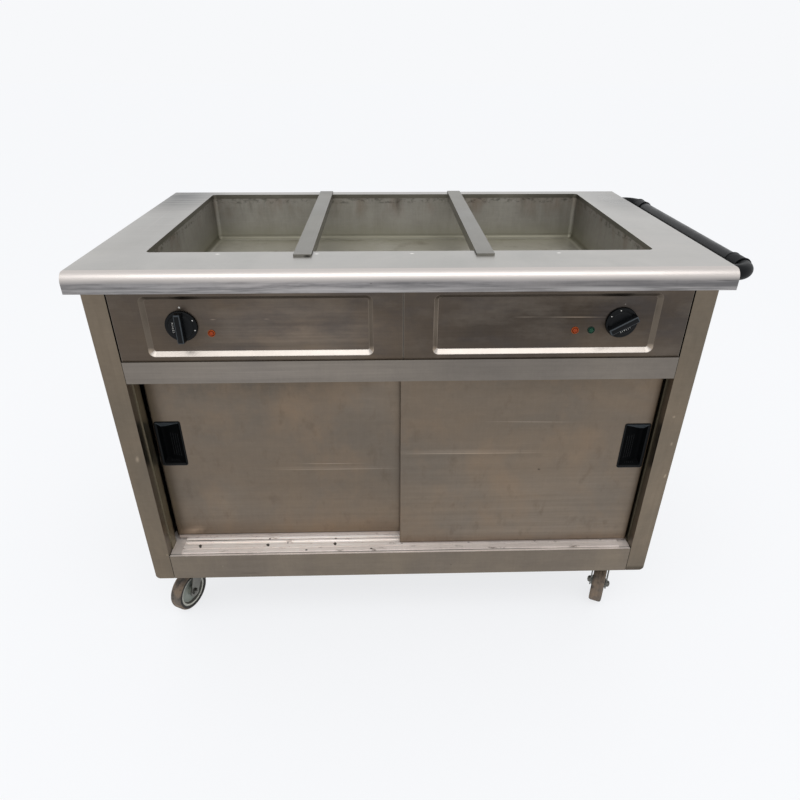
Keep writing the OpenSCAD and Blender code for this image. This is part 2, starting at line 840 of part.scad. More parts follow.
// Knob with its spindle: a chamfered skirt, a low boss and a straight grip
module knob(x, turn) {
    r = knob_d / 2;
    boss_r = r * 0.8;
    skirt_top = knob_gap + skirt_t;
    boss_top = skirt_top + 3;
    spindle_in = 12;
    spindle_out = knob_h - 6;
    color(black_plastic) placed() on_panel(x, knob_z) rotate([0, 0, -turn]) {
        rotate_extrude() polygon([
            [0, knob_gap], [r, knob_gap], [r, skirt_top - 2.5], [r - 3, skirt_top],
            [boss_r, skirt_top], [boss_r - 1.5, boss_top], [0, boss_top],
        ]);
        intersection() {
            translate([0, 0, boss_top - 1]) cylinder(r = r - 1, h = knob_h - boss_top + 1);
            rotate([90, 0, 0]) linear_extrude(knob_d, center = true) polygon([
                [-grip_w / 2 - 2, boss_top - 1], [grip_w / 2 + 2, boss_top - 1],
                [grip_w / 2, knob_h - 1], [grip_w / 2 - 1, knob_h],
                [-grip_w / 2 + 1, knob_h], [-grip_w / 2, knob_h - 1],
            ]);
        }
        translate([0, 0, -spindle_in]) cylinder(d = spindle_d, h = spindle_in + spindle_out);
    }
}

module knob_left() { knob(-knob_x, 0); }
module knob_right() { knob(knob_x, right_knob_turn); }

module lamp(x, lens_colour) {
    body_l = 28;
    bezel_t = 2;
    lens_r = lamp_d / 2 - 1.5;
    color(lens_colour) placed() on_panel(x, lamp_z) {
        translate([0, 0, -cabinet_sheet - body_l])
            cylinder(d = lamp_body_d, h = body_l + cabinet_sheet + bezel_t / 2);
        cylinder(d = lamp_d, h = bezel_t);
        translate([0, 0, bezel_t]) cylinder(r1 = lens_r, r2 = lens_r - 1.5, h = 2);
    }
}

module lamp_amber_left() { lamp(lamp_left_x, "orangered"); }
module lamp_amber_right() { lamp(lamp_amber_x, "orangered"); }
module lamp_green_right() { lamp(lamp_green_x, "green"); }

// ---- Door tracks and channels ----

front_run = front_door_y + door_t / 2;
rear_run = rear_door_y + door_t / 2;

// Twin channel over the doors, riveted under the header's upper flange
module door_top_track() {
    high = header_top - cabinet_sheet;
    base = high - track_wall;
    low = door_top + 6;
    x = post_inner - 2;
    wall_at = guide_groove_w / 2;
    color("silver") placed() {
        slab([-x, x], [front_run - wall_at - track_wall, rear_run + wall_at + track_wall],
             [base, high]);
        for (run = [front_run, rear_run], side = [-1, 1])
            slab([-x, x], side < 0 ? [run - wall_at - track_wall, run - wall_at]
                                   : [run + wall_at, run + wall_at + track_wall], [low, high]);
    }
}

// Places of the rivets through the bottom track, on the sill
rivet_row_y = cabinet_front + 30;
rivet_d = 4;
rivet_hole_d = rivet_d + 0.1;
module rivet_places() {
    count = 2 * floor((track_half - rivet_head_d) / rivet_pitch) + 1;
    for (i = [0 : count - 1])
        translate([(i - (count - 1) / 2) * rivet_pitch, rivet_row_y, sill_top]) children();
}

module door_bottom_track() {
    x = track_half;
    front = cabinet_front + track_set;
    line_w = 1.2;
    color("silver") placed() difference() {
        slab([-x, x], [front, sill_back], [sill_top, track_top]);
        for (run = [front_run, rear_run])
            slab([-x - past, x + past], [run - shoe_groove_w / 2, run + shoe_groove_w / 2],
                 [track_top - shoe_groove_depth, track_top + past]);
        for (y = [front + 12, (front_run + rear_run) / 2 - 3])
            slab([-x - past, x + past], [y, y + line_w], [track_top - 1, track_top + past]);
        rivet_places() translate([0, 0, -past]) cylinder(d = rivet_hole_d, h = track_t + 2 * past);
    }
}

module track_rivets() {
    tail = 2;
    color("gray") placed() rivet_places() {
        translate([0, 0, track_t]) cylinder(d = rivet_head_d, h = rivet_head_h);
        translate([0, 0, -cabinet_sheet - tail])
            cylinder(d = rivet_d, h = cabinet_sheet + tail + track_t + rivet_head_h / 2);
        translate([0, 0, -cabinet_sheet - tail]) cylinder(d = rivet_d + 2, h = tail);
    }
}

// Channel behind each post, which a door closes against
module door_channel() {
    x = [channel_x, channel_x + channel_w];
    y = [return_back + channel_gap, channel_back];
    wall = 1.5;
    color(dark_steel) difference() {
        slab(x, y, [sill_top, header_low + channel_tuck]);
        slab([x[0] + wall, x[1] - wall], [y[0] + wall, y[1] + past],
             [sill_top - past, header_low + channel_tuck + past]);
    }
}

module door_channel_left() { placed() left_hand() door_channel(); }
module door_channel_right() { placed() door_channel(); }

// ---- Doors ----

// The right-hand door is in front. The left-hand one is its mirror image, one
// pitch further back. A door is drawn from its inner edge outwards, face at y = 0.
module door_place(hand) {
    placed() mirror([hand == "left" ? 1 : 0, 0, 0])
        translate([-door_overlap / 2, hand == "left" ? rear_door_y : front_door_y, 0]) children();
}

module door_plan(inset) {
    r = door_edge_r - inset;
    translate([inset, inset + r]) square([door_w - 2 * inset, door_t - inset - r + past]);
    translate([inset + r, inset]) square([door_w - 2 * inset - 2 * r, r + past]);
    for (x = [inset + r, door_w - inset - r]) translate([x, inset + r]) circle(r);
}

module pull_place() {
    translate([door_w - pull_inset, 0, pull_z]) children();
}

module door_skin(hand) {
    color(warm_steel) door_place(hand) difference() {
        translate([0, 0, door_low]) linear_extrude(door_top - door_low) door_plan(0);
        translate([0, 0, door_low + door_sheet])
            linear_extrude(door_top - door_low - 2 * door_sheet) door_plan(door_sheet);
        slab([-past, door_w + past], [door_t, door_t + 2 * past], [door_low - past, door_top + past]);
        pull_place() front_plate(door_sheet + past, door_sheet + 2 * past)
            rounded_rect(cup_w + 0.4, cup_h + 0.4, 3);
    }
}

module door_back(hand) {
    gap = 0.1;
    edge = door_sheet + gap;
    flange = 12;
    x = [edge, door_w - edge];
    z = [door_low + edge, door_top - edge];
    color(dark_steel) door_place(hand) difference() {
        slab(x, [door_t - flange, door_t], z);
        slab([x[0] + door_sheet, x[1] - door_sheet], [door_t - flange - past, door_t - door_sheet],
             [z[0] + door_sheet, z[1] - door_sheet]);
        pull_place() slab([-cup_w / 2 - 1, cup_w / 2 + 1], [0, door_t - door_sheet - 0.5],
                          [-cup_h / 2 - 1, cup_h / 2 + 1]);
    }
}

// Flush pull: a flanged cup whose recess is deepest near the door's outer edge
module door_pull(hand) {
    skin = 0.01;
    rim_w = cup_w - 2 * cup_wall;
    rim_h = cup_h - 2 * cup_wall;
    valley_x = rim_w * 0.24;
    valley_w = 3;
    top_slope = 22;
    low_slope = 12;
    color(black_plastic) door_place(hand) pull_place() difference() {
        union() {
            front_plate(0, pull_flange_t) rounded_rect(pull_w, pull_h, 5);
            front_plate(pull_depth + cup_wall, pull_depth + cup_wall + pull_flange_t / 2)
                rounded_rect(cup_w, cup_h, 3);
        }
        hull() {
            slab([-rim_w / 2, rim_w / 2], [-pull_flange_t - skin, -pull_flange_t + skin],
                 [-rim_h / 2, rim_h / 2]);
            slab([valley_x - valley_w / 2, valley_x + valley_w / 2], [pull_depth - skin, pull_depth],
                 [-rim_h / 2 + low_slope, rim_h / 2 - top_slope]);
        }
    }
}

// Nylon guides: two in the top track and two shoes in the bottom track's groove
module door_guides(hand) {
    end = 30;
    color("ivory") door_place(hand) for (x = [end, door_w - end - guide_l]) {
        slab([x, x + guide_l], [door_t / 2 - guide_t / 2, door_t / 2 + guide_t / 2],
             [door_top, door_top + guide_h]);
        slab([x, x + guide_l], [door_t / 2 - shoe_t / 2, door_t / 2 + shoe_t / 2],
             [track_top - shoe_groove_depth + shoe_gap, door_low]);
    }
}

module door_left_skin() { door_skin("left"); }
module door_left_back() { door_back("left"); }
module door_left_pull() { door_pull("left"); }
module door_left_guides() { door_guides("left"); }
module door_right_skin() { door_skin("right"); }
module door_right_back() { door_back("right"); }
module door_right_pull() { door_pull("right"); }
module door_right_guides() { door_guides("right"); }

// ---- Push handle ----

// Moulded elbow: a flange on the worktop's end, a quarter bend and a collar
module handle_bracket() {
    color(black_plastic) placed() translate([0, handle_half, handle_z]) difference() {
        union() {
            translate([worktop_w / 2, 0, 0]) rotate([0, 90, 0]) linear_extrude(flange_t)
                rounded_rect(2 * collar_r, 2 * (screw_y + 10), 10);
            translate([worktop_w / 2, 0, 0]) rotate([0, 90, 0])
                cylinder(r = leg_r, h = handle_out - elbow_r);
            translate([handle_x - elbow_r, -elbow_r, 0])
                rotate_extrude(angle = 90) translate([elbow_r, 0]) circle(leg_r);
            translate([handle_x, -elbow_r, 0]) rotate([90, 0, 0])
                cylinder(r = collar_r, h = collar_l);
        }
        translate([handle_x, -elbow_r - collar_l - past, 0]) rotate([-90, 0, 0])
            cylinder(r = tube_r + tube_clear, h = collar_grip + past);
        for (step = [-1, 1])
            translate([worktop_w / 2 - past, step * screw_y, 0]) rotate([0, 90, 0])
                cylinder(d = screw_d + 2 * screw_clear, h = flange_t + 2 * past);
    }
}

module handle_bracket_rear() { handle_bracket(); }
module handle_bracket_front() { mirror([0, 1, 0]) handle_bracket(); }

module handle_tube() {
    half = collar_end_y + collar_grip;
    color([0.1, 0.1, 0.11]) placed() translate([handle_x, half, handle_z]) rotate([90, 0, 0])
        difference() {
            cylinder(r = tube_r, h = 2 * half);
            translate([0, 0, -past]) cylinder(r = tube_r - tube_wall, h = 2 * half + 2 * past);
        }
}

module handle_screws() {
    head_h = 3.2;
    nut_h = 5;
    color(zinc) placed() handle_screw_places() {
        translate([0, 0, flange_t]) cylinder(d = screw_d + 5, h = head_h);
        translate([0, 0, -top_sheet - nut_h - 1])
            cylinder(d = screw_d, h = flange_t + top_sheet + nut_h + 1 + head_h / 2);
        translate([0, 0, -top_sheet - nut_h]) cylinder(d = screw_d + 5.5, h = nut_h, $fn = 6);
    }
}

// ---- Castors ----

// Puts a castor's own drawing under one corner, swivelled to its resting heading
module castor_place(sx, sy) {
    placed() translate([sx * castor_x, sy * castor_y, 0])
        rotate([0, 0, -castor_heading]) children();
}

module castor_bolt_places() {
    for (sx = [-1, 1], sy = [-1, 1], bx = [-1, 1], by = [-1, 1])
        translate([sx * castor_x + bx * bolt_x / 2, sy * castor_y + by * bolt_y / 2,
                   castor_h - past]) children();
}

// Four top plates, each with its race and king pin
module castor_plates() {
    color(zinc) placed() difference() {
        for (sx = [-1, 1], sy = [-1, 1]) translate([sx * castor_x, sy * castor_y, 0]) {
            translate([0, 0, castor_h - plate_t]) linear_extrude(plate_t)
                rounded_rect(plate_w, plate_l, 8);
            translate([0, 0, crown_top + race_gap]) cylinder(r = race_r, h = race_t + past);
            translate([0, 0, crown_low - 3]) cylinder(r = king_pin_r, h = crown_t + race_t);
            translate([0, 0, crown_low - 4]) cylinder(r = king_pin_r + 4, h = 3.5);
        }
        castor_bolt_places() translate([0, 0, -plate_t - past])
            cylinder(d = bolt_d + 2 * bolt_clear, h = plate_t + 3 * past);
    }
}

module castor_bolts() {
    head_h = 5;
    nut_h = 6;
    color(zinc) placed() castor_bolt_places() rotate([0, 0, 30]) translate([0, 0, past]) {
        translate([0, 0, -plate_t - head_h]) cylinder(d = bolt_d + 6, h = head_h, $fn = 6);
        translate([0, 0, bearer_wall]) cylinder(d = bolt_d + 6, h = nut_h, $fn = 6);
        translate([0, 0, -plate_t - head_h / 2])
            cylinder(d = bolt_d, h = plate_t + head_h / 2 + bearer_wall + nut_h + 1);
    }
}

// Pressed fork: a crown that turns on the king pin and two legs riveted to the axle
module castor_fork(sx, sy) {
    leg_in = wheel_w / 2 + fork_gap;
    axle_z = wheel_d / 2;
    head_r = axle_d / 2 + 3;
    head_t = 4;
    boss_r = 14;
    color(zinc) castor_place(sx, sy) difference() {
        union() {
            translate([0, 0, crown_low]) cylinder(r = race_r + 1, h = crown_t);
            for (side = [0, 1]) mirror([side, 0, 0])
                translate([leg_in, 0, 0]) rotate([90, 0, 90]) linear_extrude(fork_t) {
                    polygon([
                        [-castor_trail - boss_r, axle_z],
                        [-castor_trail + boss_r * 0.7, axle_z - boss_r * 0.7],
                        [22, crown_low + 2], [22, crown_top - 2], [-24, crown_top - 2],
                    ]);
                    translate([-castor_trail, axle_z]) circle(boss_r);
                }
            translate([-leg_in - fork_t - head_t, -castor_trail, axle_z]) rotate([0, 90, 0]) {
                cylinder(d = axle_d, h = 2 * (leg_in + fork_t + head_t));
                cylinder(r = head_r, h = head_t);
            }
            translate([leg_in + fork_t, -castor_trail, axle_z]) rotate([0, 90, 0])
                cylinder(r = head_r, h = head_t);
        }
        translate([0, 0, crown_low - past])
            cylinder(r = king_pin_r + castor_clear, h = crown_t + 2 * past);
        translate([0, 0, crown_low - 5]) cylinder(r = king_pin_r + 5, h = 5 + race_gap);
    }
}

// Moulded wheel centre with a recessed disc and a bored boss
module castor_hub(sx, sy) {
    rim_r = wheel_d / 2 - tyre_t;
    boss_r = axle_d / 2 + 7;
    half_w = wheel_w / 2 - 2;
    boss_half = wheel_w / 2 + fork_gap - hub_gap;
    disc_half = 4;
    color("lightgray") castor_place(sx, sy)
        translate([0, -castor_trail, wheel_d / 2]) rotate([0, 90, 0]) rotate_extrude() polygon([
            [axle_d / 2 + castor_clear, -boss_half], [boss_r, -boss_half],
            [boss_r + 1, -disc_half], [rim_r - 5, -disc_half], [rim_r - 3, -half_w],
            [rim_r, -half_w], [rim_r, half_w], [rim_r - 3, half_w],
            [rim_r - 5, disc_half], [boss_r + 1, disc_half],
            [boss_r, boss_half], [axle_d / 2 + castor_clear, boss_half],
        ]);
}

module castor_tyre(sx, sy) {
    outer = wheel_d / 2;
    inner = outer - tyre_t;
    half_w = wheel_w / 2;
    shoulder = 4;
    color([0.3, 0.28, 0.26]) castor_place(sx, sy)
        translate([0, -castor_trail, wheel_d / 2]) rotate([0, 90, 0]) rotate_extrude() {
            translate([inner, -half_w]) square([tyre_t - shoulder, wheel_w]);
            translate([inner, -half_w + shoulder]) square([tyre_t, wheel_w - 2 * shoulder]);
            for (side = [-1, 1])
                translate([outer - shoulder, side * (half_w - shoulder)]) circle(shoulder);
        }
}

module castor_fork_front_left() { castor_fork(-1, -1); }
module castor_hub_front_left() { castor_hub(-1, -1); }
module castor_tyre_front_left() { castor_tyre(-1, -1); }
module castor_fork_front_right() { castor_fork(1, -1); }
module castor_hub_front_right() { castor_hub(1, -1); }
module castor_tyre_front_right() { castor_tyre(1, -1); }
module castor_fork_rear_left() { castor_fork(-1, 1); }
module castor_hub_rear_left() { castor_hub(-1, 1); }
module castor_tyre_rear_left() { castor_tyre(-1, 1); }
module castor_fork_rear_right() { castor_fork(1, 1); }
module castor_hub_rear_right() { castor_hub(1, 1); }
module castor_tyre_rear_right() { castor_tyre(1, 1); }

worktop();
well_tank();
well_element();
ceiling_pan();
side_panel_left();
side_panel_right();
back_panel();
control_panel_left();
control_panel_right();
header_rail();
plinth_rail();
base_pan();
chassis_bearers();
liner_left();
liner_right();
liner_back();
shelf();
shelf_brackets();
cupboard_element();
cable_gland();
door_top_track();
door_bottom_track();
track_rivets();
door_channel_left();
door_channel_right();
thermostat_left();
thermostat_right();
lamp_amber_left();
lamp_amber_right();
lamp_green_right();
knob_left();
knob_right();
door_left_skin();
door_left_back();
door_left_pull();
door_left_guides();
door_right_skin();
door_right_back();
door_right_pull();
door_right_guides();
divider_bar_left();
divider_bar_right();
handle_bracket_front();
handle_bracket_rear();
handle_tube();
handle_screws();
castor_plates();
castor_bolts();
castor_fork_front_left();
castor_hub_front_left();
castor_tyre_front_left();
castor_fork_front_right();
castor_hub_front_right();
castor_tyre_front_right();
castor_fork_rear_left();
castor_hub_rear_left();
castor_tyre_rear_left();
castor_fork_rear_right();
castor_hub_rear_right();
castor_tyre_rear_right();
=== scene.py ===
import json
import math

import bmesh
import bpy
from mathutils import Matrix, Vector


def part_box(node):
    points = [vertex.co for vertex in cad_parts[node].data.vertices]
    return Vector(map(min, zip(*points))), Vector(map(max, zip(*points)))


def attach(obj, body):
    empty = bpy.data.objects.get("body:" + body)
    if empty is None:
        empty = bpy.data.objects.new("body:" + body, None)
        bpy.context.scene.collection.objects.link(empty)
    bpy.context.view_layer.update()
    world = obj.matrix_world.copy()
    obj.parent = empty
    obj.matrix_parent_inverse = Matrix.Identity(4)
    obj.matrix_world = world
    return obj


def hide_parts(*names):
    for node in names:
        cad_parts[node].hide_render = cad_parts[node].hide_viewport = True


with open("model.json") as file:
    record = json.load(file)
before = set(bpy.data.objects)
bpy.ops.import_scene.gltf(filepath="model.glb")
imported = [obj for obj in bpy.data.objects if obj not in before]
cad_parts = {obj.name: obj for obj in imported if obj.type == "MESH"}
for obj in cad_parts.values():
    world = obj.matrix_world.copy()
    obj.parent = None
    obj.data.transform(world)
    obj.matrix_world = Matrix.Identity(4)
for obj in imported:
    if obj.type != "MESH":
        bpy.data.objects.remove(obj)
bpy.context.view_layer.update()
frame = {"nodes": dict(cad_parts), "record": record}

# ---- Camera, floor and light ----
# The camera stands in front of the trolley and a little to its left, at the
# height of a person's chest, and looks down at about 30 degrees.
camera_place = Vector((-0.0681, -1.3858, 1.2317))
looks_down = math.radians(29.7)
looks_right = math.radians(1.6)
leans = math.radians(-0.15)
focal_px, frame_px, sensor_mm = 608.9, 800, 36.0
ahead = Vector((math.sin(looks_right) * math.cos(looks_down),
                math.cos(looks_right) * math.cos(looks_down), -math.sin(looks_down)))
to_right = Vector((math.cos(looks_right), -math.sin(looks_right), 0))
downwards = ahead.cross(to_right)
picture_x = to_right * math.cos(leans) + downwards * math.sin(leans)
picture_down = downwards * math.cos(leans) - to_right * math.sin(leans)
camera_data = bpy.data.cameras.new("camera")
camera_data.sensor_width = sensor_mm
camera_data.lens = focal_px / frame_px * sensor_mm
camera = bpy.data.objects.new("camera", camera_data)
bpy.context.scene.collection.objects.link(camera)
turn = Matrix((picture_x, -picture_down, -ahead)).transposed().to_4x4()
camera.matrix_world = Matrix.Translation(camera_place) @ turn
bpy.context.scene.camera = camera
bpy.context.scene.view_settings.view_transform = "Standard"


def srgb(r, g, b):
    """Linear colour of an 8-bit screen colour."""
    return tuple(c / 12.92 if c <= 0.04045 else ((c + 0.055) / 1.055) ** 2.4
                 for c in (r / 255, g / 255, b / 255))


def add_node(tree, kind, inputs=None, **settings):
    """Adds a shader node; an input is a plain value or another node's output."""
    made = tree.nodes.new("ShaderNode" + kind)
    for key, value in settings.items():
        setattr(made, key, value)
    for key, value in (inputs or {}).items():
        if isinstance(value, bpy.types.NodeSocket):
            tree.links.new(value, made.inputs[key])
        else:
            made.inputs[key].default_value = value
    return made


def studio_rays(tree):
    """1 for rays that show the plain backdrop: the camera's, and those through or off a shiny piece."""
    path = add_node(tree, "LightPath")
    clear = add_node(tree, "Math", {0: path.outputs["Is Camera Ray"],
                                    1: path.outputs["Is Transmission Ray"]}, operation="MAXIMUM")
    return add_node(tree, "Math", {0: clear.outputs[0], 1: path.outputs["Is Glossy Ray"]},
                    operation="MAXIMUM").outputs[0]


backdrop = (*srgb(247, 248, 250), 1)
studio_level = 0.95
world = bpy.data.worlds.new("studio")
bpy.context.scene.world = world
world.use_nodes = True
world.node_tree.nodes.clear()
soft = add_node(world.node_tree, "Background", {"Color": backdrop, "Strength": studio_level})
plain = add_node(world.node_tree, "Background", {"Color": backdrop, "Strength": 1.0})
either = add_node(world.node_tree, "MixShader", {0: studio_rays(world.node_tree), 1: soft.outputs[0],
                                                 2: plain.outputs[0]})
add_node(world.node_tree, "OutputWorld", {"Surface": either.outputs[0]})

# The floor keeps a faint shadow of the trolley and otherwise has the backdrop's colour.
floor_mesh = bpy.data.meshes.new("floor")
reach = 30.0
floor_mesh.from_pydata([(-reach, -reach, 0), (reach, -reach, 0), (reach, reach, 0), (-reach, reach, 0)],
                       [], [(0, 1, 2, 3)])
floor = bpy.data.objects.new("floor", floor_mesh)
bpy.context.scene.collection.objects.link(floor)
floor_paint = bpy.data.materials.new("floor_paint")
floor_paint.use_nodes = True
floor_tree = floor_paint.node_tree
floor_tree.nodes.clear()
floor_glow_share, floor_glow_level = 0.78, 1.03
painted = add_node(floor_tree, "BsdfDiffuse", {"Color": backdrop})
glow = add_node(floor_tree, "Emission", {"Color": backdrop, "Strength": floor_glow_level})
share = add_node(floor_tree, "Math", {0: studio_rays(floor_tree), 1: floor_glow_share}, operation="MULTIPLY")
floor_mix = add_node(floor_tree, "MixShader", {0: share.outputs[0], 1: painted.outputs[0],
                                               2: glow.outputs[0]})
add_node(floor_tree, "OutputMaterial", {"Surface": floor_mix.outputs[0]})
floor_mesh.materials.append(floor_paint)

# One soft box hangs above and in front of the trolley and is aimed at it.
box_place, box_aim = Vector((0.0, -1.55, 2.9)), Vector((0, -0.1, 0.7))
box_length, box_width, box_watts = 3.4, 1.3, 23
box_light = bpy.data.lights.new("overhead_box", "AREA")
box_light.shape = "RECTANGLE"
box_light.size, box_light.size_y = box_length, box_width
box_light.energy = box_watts
overhead_box = bpy.data.objects.new("overhead_box", box_light)
overhead_box.location = box_place
overhead_box.rotation_euler = (box_aim - box_place).to_track_quat("-Z", "Y").to_euler()
bpy.context.scene.collection.objects.link(overhead_box)

# ---- Worktop ----
# Pressed from 1.5 mm stainless sheet: rounded along the front, folded at the
# ends and the back, and cut out for the well. Rubbed bright by years of wiping.
body_of = {node: body for body, nodes in frame["record"]["behaviour"]["bodies"].items() for node in nodes}


def new_material(name):
    """A new material, its tree and shader, and the place on the piece that its noises follow."""
    mat = bpy.data.materials.new(name)
    mat.use_nodes = True
    tree = mat.node_tree
    return mat, tree, tree.nodes["Principled BSDF"], add_node(tree, "TexCoord").outputs["Object"]


def noise(tree, here, pull=(1, 1, 1), size=1.0, detail=3.0, roughness=0.55, swirl=0.0):
    """Noise with as many waves in a metre as pull says along each axis, times size."""
    spread = add_node(tree, "Mapping", {"Vector": here, "Scale": pull})
    return add_node(tree, "TexNoise", {"Vector": spread.outputs[0], "Scale": size, "Detail": detail,
                                       "Roughness": roughness, "Distortion": swirl}).outputs["Fac"]


def spread_over(tree, value, low, high, start=0.25, end=0.75):
    """Turns a value between start and end into one between low and high."""
    return add_node(tree, "MapRange", {"Value": value, "From Min": start, "From Max": end,
                                       "To Min": low, "To Max": high}).outputs[0]


def math_node(tree, kind, a, b):
    """One sum, product or comparison of two values."""
    return add_node(tree, "Math", {0: a, 1: b}, operation=kind).outputs[0]


def mix_colour(tree, amount, first, second):
    """Goes from the first colour to the second as amount goes from 0 to 1."""
    inputs = {"Factor": amount}
    for key, colour in ((6, first), (7, second)):
        inputs[key] = colour if isinstance(colour, bpy.types.NodeSocket) else (*colour[:3], 1)
    return add_node(tree, "Mix", inputs, data_type="RGBA").outputs[2]


def smear(tree, here, place, half, tilt=0.0):
    """1 in the middle of a long soft spot of the given half sizes, fading to 0 at its edge."""
    local = add_node(tree, "Mapping", {"Vector": here, "Location": place, "Rotation": (0, tilt, 0),
                                       "Scale": half}, vector_type="TEXTURE")
    spot = add_node(tree, "TexGradient", {"Vector": local.outputs[0]}, gradient_type="SPHERICAL")
    return spot.outputs["Fac"]


everywhere = (-1.0, 0.0)


def film_or_painted_light(colour, amount, pull, patches, heights=everywhere):
    """A thin layer of dirt, lime or wear; some films are bands of painted light and shade instead. It
    follows a noise
    that pull stretches: patches are the two levels of that noise where it starts and is full, and heights
    the two heights on the piece."""
    return colour, amount, pull, patches, heights


def rub_or_painted_light(place, half, gain, tilt=0.0):
    """A scratch, a worn place, a painted highlight, reflection or shadow: its middle, its half sizes, how
    much brighter it is, and its tilt.
    """
    return place, half, gain, tilt


def steel(name, shade, grain="X", second=None, rough=0.36, lines=0.05, cloud=0.10, smudge=0.05, rubs_or_painted_light=(),
          films_or_painted_light=(), wavy=0.9, metal=1.0):
    """Brushed stainless sheet: fine lines along its grain, broad clouds in which its shade turns to a second
    one, and smudges left by wiping. Its own rubs, films and painted light and shade lie over them."""
    mat, tree, shader, here = new_material(name)
    darkest, fine_relief, bend_pull = 0.05, 0.02, (2.2, 2.2, 2.2)

    def drawn_out(along, across):
        """Waves in a metre along and across the grain."""
        return tuple(along if axis == grain else across for axis in "XYZ")

    def plus(a, b):
        return math_node(tree, "ADD", a, b)

    def times(a, b):
        return math_node(tree, "MULTIPLY", a, b)

    fine = noise(tree, here, drawn_out(9, 900), detail=2)
    streak = noise(tree, here, drawn_out(2.5, 120), detail=5, roughness=0.6)
    patch = noise(tree, here, (5, 5, 5), detail=5, roughness=0.6, swirl=0.6)
    wiped = noise(tree, here, drawn_out(26, 60), detail=8, roughness=0.7, swirl=1.0)
    hatch = noise(tree, here, drawn_out(240, 24), detail=3, roughness=0.6)
    level = spread_over(tree, fine, 1 - lines, 1 + lines)
    for marks, depth in ((streak, lines), (patch, cloud), (wiped, smudge), (hatch, smudge / 2)):
        level = times(level, spread_over(tree, marks, 1 - depth, 1 + depth))
    # Each rub adds a soft spot of changed brightness; many are painted highlights, reflections and shadows.
    for place, half, gain, tilt in rubs_or_painted_light:
        patchy = times(smear(tree, here, place, half, tilt), spread_over(tree, streak, 0.5 * gain, 1.5 * gain))
        level = plus(level, patchy)
    level = math_node(tree, "MAXIMUM", level, darkest)
    hue = noise(tree, here, (4, 4, 4), detail=5, roughness=0.6, swirl=0.8)
    tone = mix_colour(tree, spread_over(tree, hue, 0.0, 1.0, 0.35, 0.65), shade, second or shade)
    tone = add_node(tree, "VectorMath", {0: tone, 3: level}, operation="SCALE").outputs[0]
    height = add_node(tree, "SeparateXYZ", {0: here}).outputs["Z"]
    for colour, amount, pull, patches, heights in films_or_painted_light:
        within = spread_over(tree, height, 0.0, 1.0, *heights)
        where = spread_over(tree, noise(tree, here, pull, detail=6, roughness=0.65), 0.0, amount, *patches)
        tone = mix_colour(tree, times(where, within), tone, colour)
    tree.links.new(tone, shader.inputs["Base Color"])
    shader.inputs["Metallic"].default_value = metal
    tree.links.new(spread_over(tree, patch, rough - 0.06, rough + 0.08), shader.inputs["Roughness"])
    bend = noise(tree, here, bend_pull, detail=1)
    relief = plus(times(fine, fine_relief), times(bend, wavy))
    bump = add_node(tree, "Bump", {"Strength": 0.25, "Distance": 0.002, "Height": relief})
    tree.links.new(bump.outputs[0], shader.inputs["Normal"])
    return mat


def show(mesh_or_object, name, body, finish, replaces=()):
    """Puts a finished mesh in the scene on its body, in place of the plain CAD pieces."""
    piece = mesh_or_object
    if isinstance(piece, bpy.types.Mesh):
        piece = bpy.data.objects.new(name, piece)
        bpy.context.scene.collection.objects.link(piece)
    for one in finish if isinstance(finish, (list, tuple)) else [finish]:
        piece.data.materials.append(one)
    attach(piece, body)
    if replaces:
        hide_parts(*replaces)
    return piece


def softened(node, finish, width=0.0005, edge_finish=0, choose=None, cut_back=()):
    """Copy of a CAD sheet with its edges rounded, as folding and deburring leave them.
    edge_finish is the finish of the rounded edges, choose gives each face's. cut_back is (axis, from, to)
    where an edge of the sheet stops short, which leaves a dark joint."""
    same_plane, sharp, close_by = math.radians(0.5), math.radians(35), 0.0003
    form = bmesh.new()
    form.from_mesh(frame["nodes"][node].data)
    bmesh.ops.dissolve_limit(form, angle_limit=same_plane, verts=form.verts, edges=form.edges)
    for face in form.faces:
        face.smooth = True
        face.material_index = choose(face) if choose else 0
    for axis, start, end in cut_back:
        for vert in form.verts:
            if abs(vert.co[axis] - start) < close_by:
                vert.co[axis] = end
    mesh = bpy.data.meshes.new(node + "_mesh")
    form.to_mesh(mesh)
    form.free()
    piece = show(mesh, node + "_sheet", body_of[node], finish, (node,))
    edge = piece.modifiers.new("edge", "BEVEL")
    edge.width = width
    edge.segments = 2
    edge.limit_method = "ANGLE"
    edge.angle_limit = sharp
    edge.material = edge_finish if edge_finish else -1
    flat = piece.modifiers.new("flat_faces", "WEIGHTED_NORMAL")
    flat.keep_sharp = True
    return piece


worktop_low, worktop_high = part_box("worktop")
tank_low, tank_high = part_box("well_tank")
nose_y, top_z = worktop_low.y + 0.002, worktop_high.z
nose_dents = [
    rub_or_painted_light((0.548, nose_y, 0.8795), (0.026, 0.02, 0.0011), -0.6),
    rub_or_painted_light((-0.091, nose_y, 0.878), (0.0025, 0.02, 0.002), -0.5),
]
